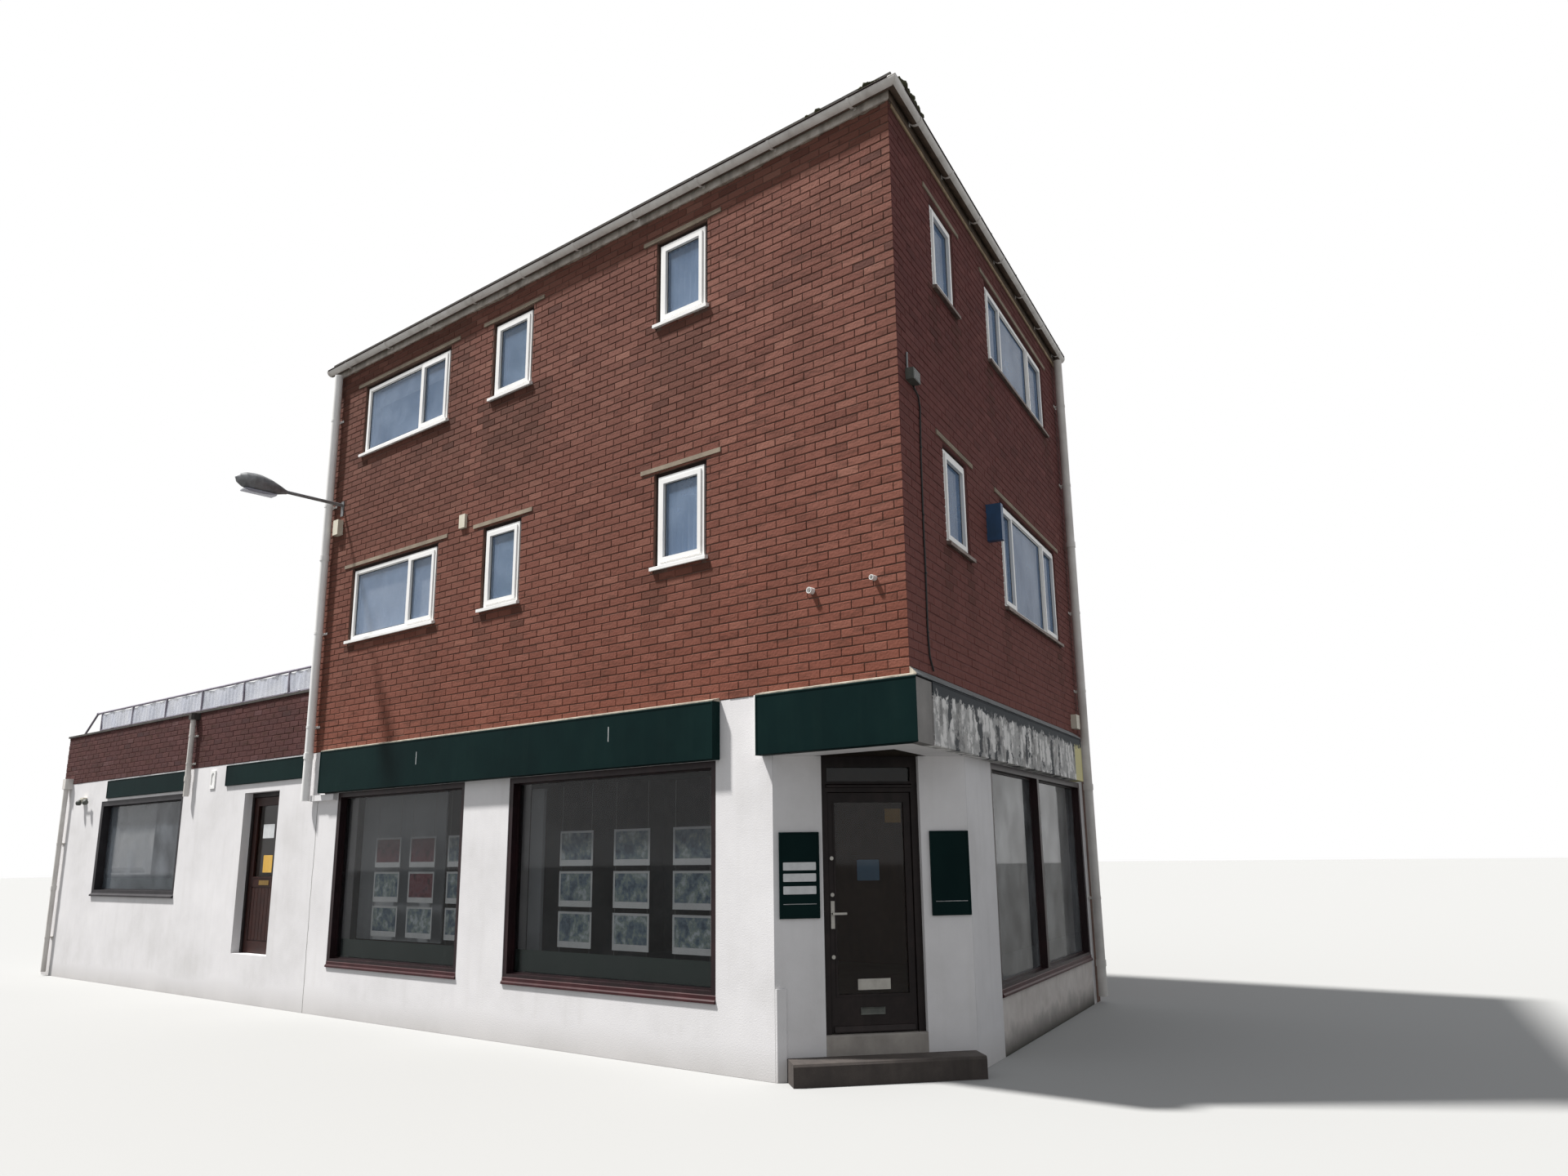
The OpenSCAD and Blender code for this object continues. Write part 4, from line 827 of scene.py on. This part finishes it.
def ragged_strip(name, wall, x0, x1, seed):
    """Old mortar and flaked paint left along the top of the brickwork."""
    across = int((x1 - x0) / 0.03)
    rng = np.random.RandomState(seed)
    knots = np.arange(0, across + 8, 7)
    coarse = np.interp(np.arange(across + 1), knots, rng.uniform(0, 1, len(knots)))
    fine = rng.uniform(0, 1, across + 1)

    def point(u, t):
        i = round(u * across)
        drop = 0.004 + 0.045 * max(0.0, coarse[i] - 0.5) + 0.010 * fine[i]
        return x0 + u * (x1 - x0), -0.0085 - 0.003 * fine[i] * t, 8.152 - (1 - t) * drop
    strip = grid(name, across, 3, point)
    modify(strip, "SOLIDIFY", thickness=0.004, offset=0)
    seat(strip, wall, OLD_MORTAR)


def gutter_clip(x):
    """A gutter bracket: a strap bent round the gutter's underside, with its tail screwed to the fascia."""
    ends = [(x + side, GUTTER_Y, GUTTER_Z) for side in (-0.015, 0.015)]
    strap = rod("strap", *ends, 0.0605, 24)
    pick(strap, lambda centre, normal: centre.z > GUTTER_Z or abs(normal.x) > 0.9)
    bpy.ops.mesh.delete(type="FACE")
    done()
    modify(strap, "SOLIDIFY", thickness=0.003, offset=1)
    tail = block("tail", (x - 0.015, x + 0.015), (-0.029, -0.025), (8.195, 8.30), 0.0015)
    return joined([strap, tail], "clip")


def eaves():
    ragged_strip("left_eaves_mortar", LEFT, -9.05, -0.02, 21)
    ragged_strip("right_eaves_mortar", RIGHT, 0.02, 6.3, 22)
    seat(block("eaves_batten", (0.05, 6.28), (-0.020, -0.004), (8.112, 8.158), 0.004), RIGHT, TAN_BOARD)
    for side, wall, x, count in (("left", LEFT, -8.7, 10), ("right", RIGHT, 0.5, 7)):
        steps = [(CLIP_STEP * i, 0, 0) for i in range(1, count)]
        seat(repeated(side + "_gutter_clips", gutter_clip(x), steps), wall, GUTTER)


def lip_grime():
    """Black crust of algae along the outer lip of each gutter."""
    for name, wall, x0, x1 in (("left_lip_grime", LEFT, -9.15, 0.10), ("right_lip_grime", RIGHT, 0.05, 6.30)):
        crust = rod(name, (x0, -0.146, 8.260), (x1, -0.146, 8.260), 0.009, 8)
        sink(crust, lambda centre, normal: abs(normal.x) > 0.9, 0.002)
        seat(crust, wall, SEALANT)


def pipe_clip(x, z, radius):
    """A downpipe bracket: a collar on a short stem, with a screwed plate on the wall."""
    y = -0.033 - radius
    collar = rod("collar", (x, y, z - 0.015), (x, y, z + 0.015), radius + 0.004, 24)
    sink(collar, lambda centre, normal: abs(normal.z) > 0.9, 0.0015)
    stem = block("stem", (x - 0.012, x + 0.012), (-0.037, -0.006), (z - 0.012, z + 0.012), 0.002)
    ears = block("ears", (x - 0.07, x + 0.07), (-0.011, -0.004), (z - 0.015, z + 0.015), 0.003)
    screws = [rod("screw", (x + s, -0.014, z), (x + s, -0.009, z), 0.006, 8) for s in (-0.055, 0.055)]
    return joined([collar, stem, ears] + screws, "clip")


def pipe_clips():
    for pipe, wall, x, radius, heights, material in PIPES:
        rises = [(0, 0, z - heights[0]) for z in heights[1:]]
        seat(repeated(pipe + "_pipe_clips", pipe_clip(x, heights[0], radius), rises), wall, material)


def corrugated_panels():
    """Clouded corrugated sheet in the bays of the railing, buckled by the sun."""
    panels = []
    for start, end in zip(RAIL_POSTS, RAIL_POSTS[1:]):
        x0, x1 = start + 0.021, end - 0.021
        waves = round((x1 - x0) / 0.11)

        def point(u, t):
            sag = 0.012 * math.sin(u * 11 + 5 * start) * (1 - t) + 0.006 * math.sin(u * 23 + 3 * t + start)
            wave = 0.0025 * math.sin(u * waves * 2 * math.pi)
            high = 0.256 + 0.008 * math.sin(u * 17 + start)
            return x0 + u * (x1 - x0), 0.11 + wave + sag, 3.968 + t * high
        panel = grid("panel", waves * 6, 4, point)
        modify(panel, "SOLIDIFY", thickness=0.0015, offset=0)
        panels.append(panel)
    sheets = joined(panels, "corrugated_panels")
    seat(sheets, LEFT, SHEETING)
    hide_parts("railing_panels")


def moss_cushions():
    """Lumps of moss along the roof edge, thickest at the corner."""
    rng = np.random.RandomState(31)
    lumps = []
    for i in range(90):
        if i % 6 == 0:
            wall, along = LEFT, -abs(rng.normal(0.0, 0.35))
        else:
            wall, along = RIGHT, rng.uniform(0.0, 0.9) ** 1.5
        if i > 45:
            wall, along = RIGHT, rng.uniform(0.8, 6.2)
        size = rng.uniform(0.02, 0.05) * (1.5 if along < 0.8 and wall is RIGHT else 0.75)
        deselect()
        bpy.ops.mesh.primitive_ico_sphere_add(subdivisions=2, radius=size, location=(0, 0, 0))
        lump = bpy.context.object
        for v in lump.data.vertices:
            v.co *= 1 + 0.25 * math.sin(v.co.x * 160 + i) * math.cos(v.co.z * 140 + 2 * i)
            v.co.z = min(max(v.co.z * 0.6, -0.03), 0.036)
        y = -0.082 + rng.uniform(-0.02, 0.01)
        lump.data.transform(wall @ Matrix.Translation((along, y, 8.320)))
        lumps.append(lump)
    piece = joined(lumps, "roof_edge_moss")
    only(piece)
    bpy.ops.object.shade_smooth()
    seat(piece, Matrix.Identity(4), MOSS)


# small things on the walls
CABLE = [(0.33, -0.02, 5.60), (0.45, -0.018, 5.55), (0.49, -0.016, 5.47), (0.465, -0.014, 5.0),
         (0.455, -0.014, 4.45), (0.46, -0.014, 4.0), (0.45, -0.014, 3.5), (0.47, -0.016, 3.3),
         (0.54, -0.02, 3.19)]
CONDUIT = [(0.20, -0.016, 5.70), (0.20, -0.014, 5.76), (0.205, -0.014, 5.86)]


def tube(name, wall, points, radius, material):
    """A round cable or bar along points."""
    curve = bpy.data.curves.new(name, "CURVE")
    curve.dimensions = "3D"
    curve.bevel_depth = radius
    curve.bevel_resolution = 2
    line = curve.splines.new("POLY")
    line.points.add(len(points) - 1)
    for point, place in zip(line.points, points):
        point.co = place + (1,)
    holder = bpy.data.objects.new(name, curve)
    bpy.context.collection.objects.link(holder)
    only(holder)
    bpy.ops.object.convert(target="MESH")
    piece = bpy.context.object
    piece.name = name
    seat(piece, wall, material)


def flood_lamp():
    """The floodlight's glass and conduit, and its black cable, clipped to the wall down to the sign."""
    tube("flood_lamp_cable", RIGHT, CABLE, 0.008, GASKET)
    clip = block("clip", (0.455, 0.479), (-0.026, -0.006), (5.094, 5.106), 0.003)
    moves = [(-0.012, 0, -0.6), (-0.007, 0, -1.1), (-0.017, 0, -1.6)]
    seat(repeated("cable_clips", clip, moves), RIGHT, GASKET)
    tube("flood_lamp_conduit", RIGHT, CONDUIT, 0.010, GALVANISED)
    lens = block("flood_lamp_glass", (0.185, 0.325), (-0.083, -0.081), (5.615, 5.695))
    sink(lens, in_front, 0.012, (0, 0.001, 0))
    seat(lens, RIGHT, SHOP_GLASS)


def lamp_heads():
    """Two round lamp heads under the box at the far end of the extension, on a short bar."""
    heads = [rod("lamp_bar", (-16.42, -0.075, 2.79), (-16.05, -0.075, 2.79), 0.010, 10)]
    for x in (-16.38, -16.10):
        deselect()
        place = (x, -0.085, 2.745)
        bpy.ops.mesh.primitive_uv_sphere_add(segments=16, ring_count=10, radius=0.046, location=place)
        head = bpy.context.object
        sink(head, lambda centre, normal: normal.z < -0.75, 0.006, (0, 0, 0.012))
        heads.append(head)
    seat(joined(heads, "extension_lamp_heads"), LEFT, CAST_GREY)


def wall_details():
    seat(block("lantern_bowl", (-8.815, -8.665), (-1.32, -0.92), (6.188, 6.212), 0.010, 3), LEFT, SHEETING)
    # the seams of the sign's sheets, as pale upright marks
    mark = block("mark", (-6.554, -6.546), (-0.0975, -0.0965), (2.79, 2.93), 0.0004, 1)
    seat(repeated("sign_marks", mark, [(3.2, 0, 0.02)]), LEFT, WHITE_BAR)
    seat(block("sign_edge_trim", (-1.516, -1.501), (-0.101, -0.004), (2.562, 3.07), 0.002), LEFT, PLASTIC)


def letter_slot():
    """The lip round the letter slot of the corner door."""
    lip = block("letter_slot_lip", (0.723, 0.929), (0.072, 0.081), (0.472, 0.528))
    sink(lip, in_front, 0.012, (0, 0.005, 0))
    seat(lip, SPLAY, CAST_GREY, "corner_door")


# each finish with the CAD nodes that it covers
NODE_FINISH = [
    (RENDER, "shop_piers entrance_piers stall_risers left_beam right_beam ext_piers ext_risers ext_beam"),
    (RENDER, "ext_rear_wall ext_end_wall"),
    (MORTAR, "left_wall west_wall party_wall"), (SHADE_MATCHED_MORTAR, "right_wall ext_parapet"),
    (CONCRETE, "shop_floor ext_floor"), (SHADE_GREYED_CEILING, "upper_floors"), (SHADE_PAINTED_SOFFIT, "corner_soffit"),
    (LINTEL, "lintels"), (COPING, "coping"), (CAPPING, "sign_cappings"), (STEP, "entrance_step"),
    (FASCIA, "roof_deck fascia_boards"), (FELT, "roof_felt ext_roof"), (GUTTER, "gutters downpipes"),
    (PLASTIC, "sills upper_frames"), (SEALANT, "frame_strips"), (SHOP_PAINT, "shop_frames"),
    (DARK_FRAME, "ext_frames"), (DARK_DOOR, "door_frame door_leaf side_frame"), (RED_DOOR, "side_leaf"),
    (UPPER_GLASS, "upper_glass"), (SHOP_GLASS, "ground_glass"), (DOOR_GLASS, "door_glass side_glass"),
    (STEEL, "door_furniture"), (BRASS, "side_furniture"), (GALVANISED, "wall_lamp"), (RAIL, "railing"),
    (SHEETING, "railing_panels"), (CREAM, "wall_fittings"), (RETURN_GREY, "sign_return"),
    (SIGN_GREEN, "signs entrance_plates"),
]

# parts of a node with a finish of their own, as (node, wall, x, y, z, finish) in the wall's frame
WALL_SIDE = (-1.2, 0.6)
PART_FINISH = [
    ("signs", RIGHT, (0.22, 5.90), (-0.3, 0.1), (2.50, 3.10), SIGN_OLD),
    ("sign_cappings", RIGHT, (0.05, 5.90), (-0.3, 0.1), (3.0, 3.3), LEAD),
    # painted shade on the right street's sills
    ("sills", RIGHT, (0.90, 5.60), (-0.3, 0.3), (4.0, 8.0), SHADED_SILL),
    ("fascia_boards", RIGHT, (-0.20, 6.50), (-0.3, 0.1), (8.1, 8.4), BROWN_FASCIA_AND_GUTTER_SHADE),
    # painted shade: the gutters' wall-side halves are brown for the shade beneath them
    ("gutters", LEFT, (-9.30, 0.20), (-0.088, 0.1), (8.10, 8.25), BROWN_FASCIA_AND_GUTTER_SHADE),
    ("gutters", RIGHT, (-0.10, 6.50), (-0.105, 0.1), (8.10, 8.25), BROWN_FASCIA_AND_GUTTER_SHADE),
    ("stall_risers", RIGHT, (2.00, 6.20), (-0.1, 0.4), (-0.1, 0.60), MUDDY_RENDER),
    ("door_furniture", SPLAY, (0.65, 1.00), (0.0, 0.3), (0.42, 0.58), DARK_DOOR),
    ("upper_glass", RIGHT, (0.90, 5.70), (-0.1, 0.2), (4.0, 8.0), SHADED_GLASS),
    ("ground_glass", LEFT, (-15.9, -12.4), (-0.1, 0.3), (1.2, 3.0), EXT_GLASS),
    ("ground_glass", RIGHT, (2.00, 6.20), (-0.1, 0.4), (0.4, 2.6), SIDE_GLASS),
    ("wall_fittings", LEFT, (-8.90, -8.33), WALL_SIDE, (2.40, 2.60), RENDER),
    ("wall_fittings", LEFT, (-11.82, -11.64), WALL_SIDE, (2.70, 3.05), PLASTIC),
    ("wall_fittings", LEFT, (-1.00, -0.20), WALL_SIDE, (3.80, 4.00), PLASTIC),
    ("wall_fittings", RIGHT, (0.10, 0.40), WALL_SIDE, (5.55, 5.75), CAST_GREY),
    ("wall_fittings", RIGHT, (2.40, 2.60), WALL_SIDE, (4.70, 5.20), BLUE_BOX),
    ("wall_lamp", LEFT, (-8.83, -8.69), (-0.1, 0.1), (5.87, 6.09), CREAM),
    ("downpipes", LEFT, (-9.10, -8.80), WALL_SIDE, (2.40, 8.20), PLASTIC),
    ("downpipes", LEFT, (-12.55, -12.25), WALL_SIDE, (3.77, 3.90), COPING),
    ("shop_frames", LEFT, (-8.40, -2.00), (-0.1, 0.0055), (0.50, 0.70), RAIL_PAINT),
    ("shop_frames", RIGHT, (2.10, 6.10), (-0.1, 0.0055), (0.45, 0.65), RAIL_PAINT),
    ("entrance_step", SPLAY, (0.30, 1.40), (-0.0005, 0.4), (0.0, 0.40), THRESHOLD),
]


def paint_nodes():
    for material, names in NODE_FINISH:
        for name in names.split():
            mesh = cad[name].data
            mesh.materials.clear()
            mesh.materials.append(material)
    for name, wall, x, y, z, material in PART_FINISH:
        mesh = cad[name].data
        if material.name not in mesh.materials:
            mesh.materials.append(material)
        slot = mesh.materials.find(material.name)
        into_wall = wall.inverted() @ cad[name].matrix_world
        for face in mesh.polygons:
            place = into_wall @ face.center
            if x[0] < place.x < x[1] and y[0] < place.y < y[1] and z[0] < place.z < z[1]:
                face.material_index = slot


# floor, light and world
def surroundings():
    deselect()
    bpy.ops.mesh.primitive_plane_add(size=400, location=(0, 0, -0.002))
    ground = bpy.context.object
    ground.name = "studio_floor"
    material, add, shader, place = new_finish("pale_studio_floor", 0.9, 0.1)
    seen = add("LightPath").outputs["Is Camera Ray"]
    colour = add("Mix", [seen, "#6f6f6e", "#a9a9a8"], data_type="RGBA")
    feed(shader, {"Base Color": colour})
    ground.data.materials.append(material)

    sun = bpy.data.lights.new("key", "SUN")
    sun.energy = 6.5
    sun.angle = math.radians(4)
    sun.color = (1.0, 0.985, 0.96)
    key = bpy.data.objects.new("key", sun)
    bpy.context.collection.objects.link(key)
    lift, side = math.radians(60), math.radians(54)
    toward = Vector((-math.sin(side) * math.cos(lift), -math.cos(side) * math.cos(lift), math.sin(lift)))
    key.rotation_euler = toward.to_track_quat("Z", "Y").to_euler()

    world = bpy.data.worlds.new("studio")
    bpy.context.scene.world = world
    world.use_nodes = True
    world.node_tree.nodes.clear()
    add = adder(world.node_tree)
    rays = add("LightPath").outputs
    shown = add("Math", [rays["Is Camera Ray"], rays["Is Glossy Ray"]], operation="MAXIMUM")
    shown = add("Math", [shown, rays["Is Transmission Ray"]], operation="MAXIMUM")
    fill = add("Background", {"Color": (0.93, 0.96, 1.0, 1.0), "Strength": 0.5})
    white = add("Background", {"Color": (1.0, 1.0, 1.0, 1.0), "Strength": 1.0})
    both = add("MixShader", [shown, fill, white])
    add("OutputWorld", {"Surface": both})
    bpy.context.scene.view_settings.view_transform = "Standard"


camera_at_photo()
paint_nodes()
brickwork()
gaskets()
curtains()
displays()
films()
eaves()
lip_grime()
pipe_clips()
corrugated_panels()
moss_cushions()
flood_lamp()
wall_details()
lamp_heads()
letter_slot()
surroundings()
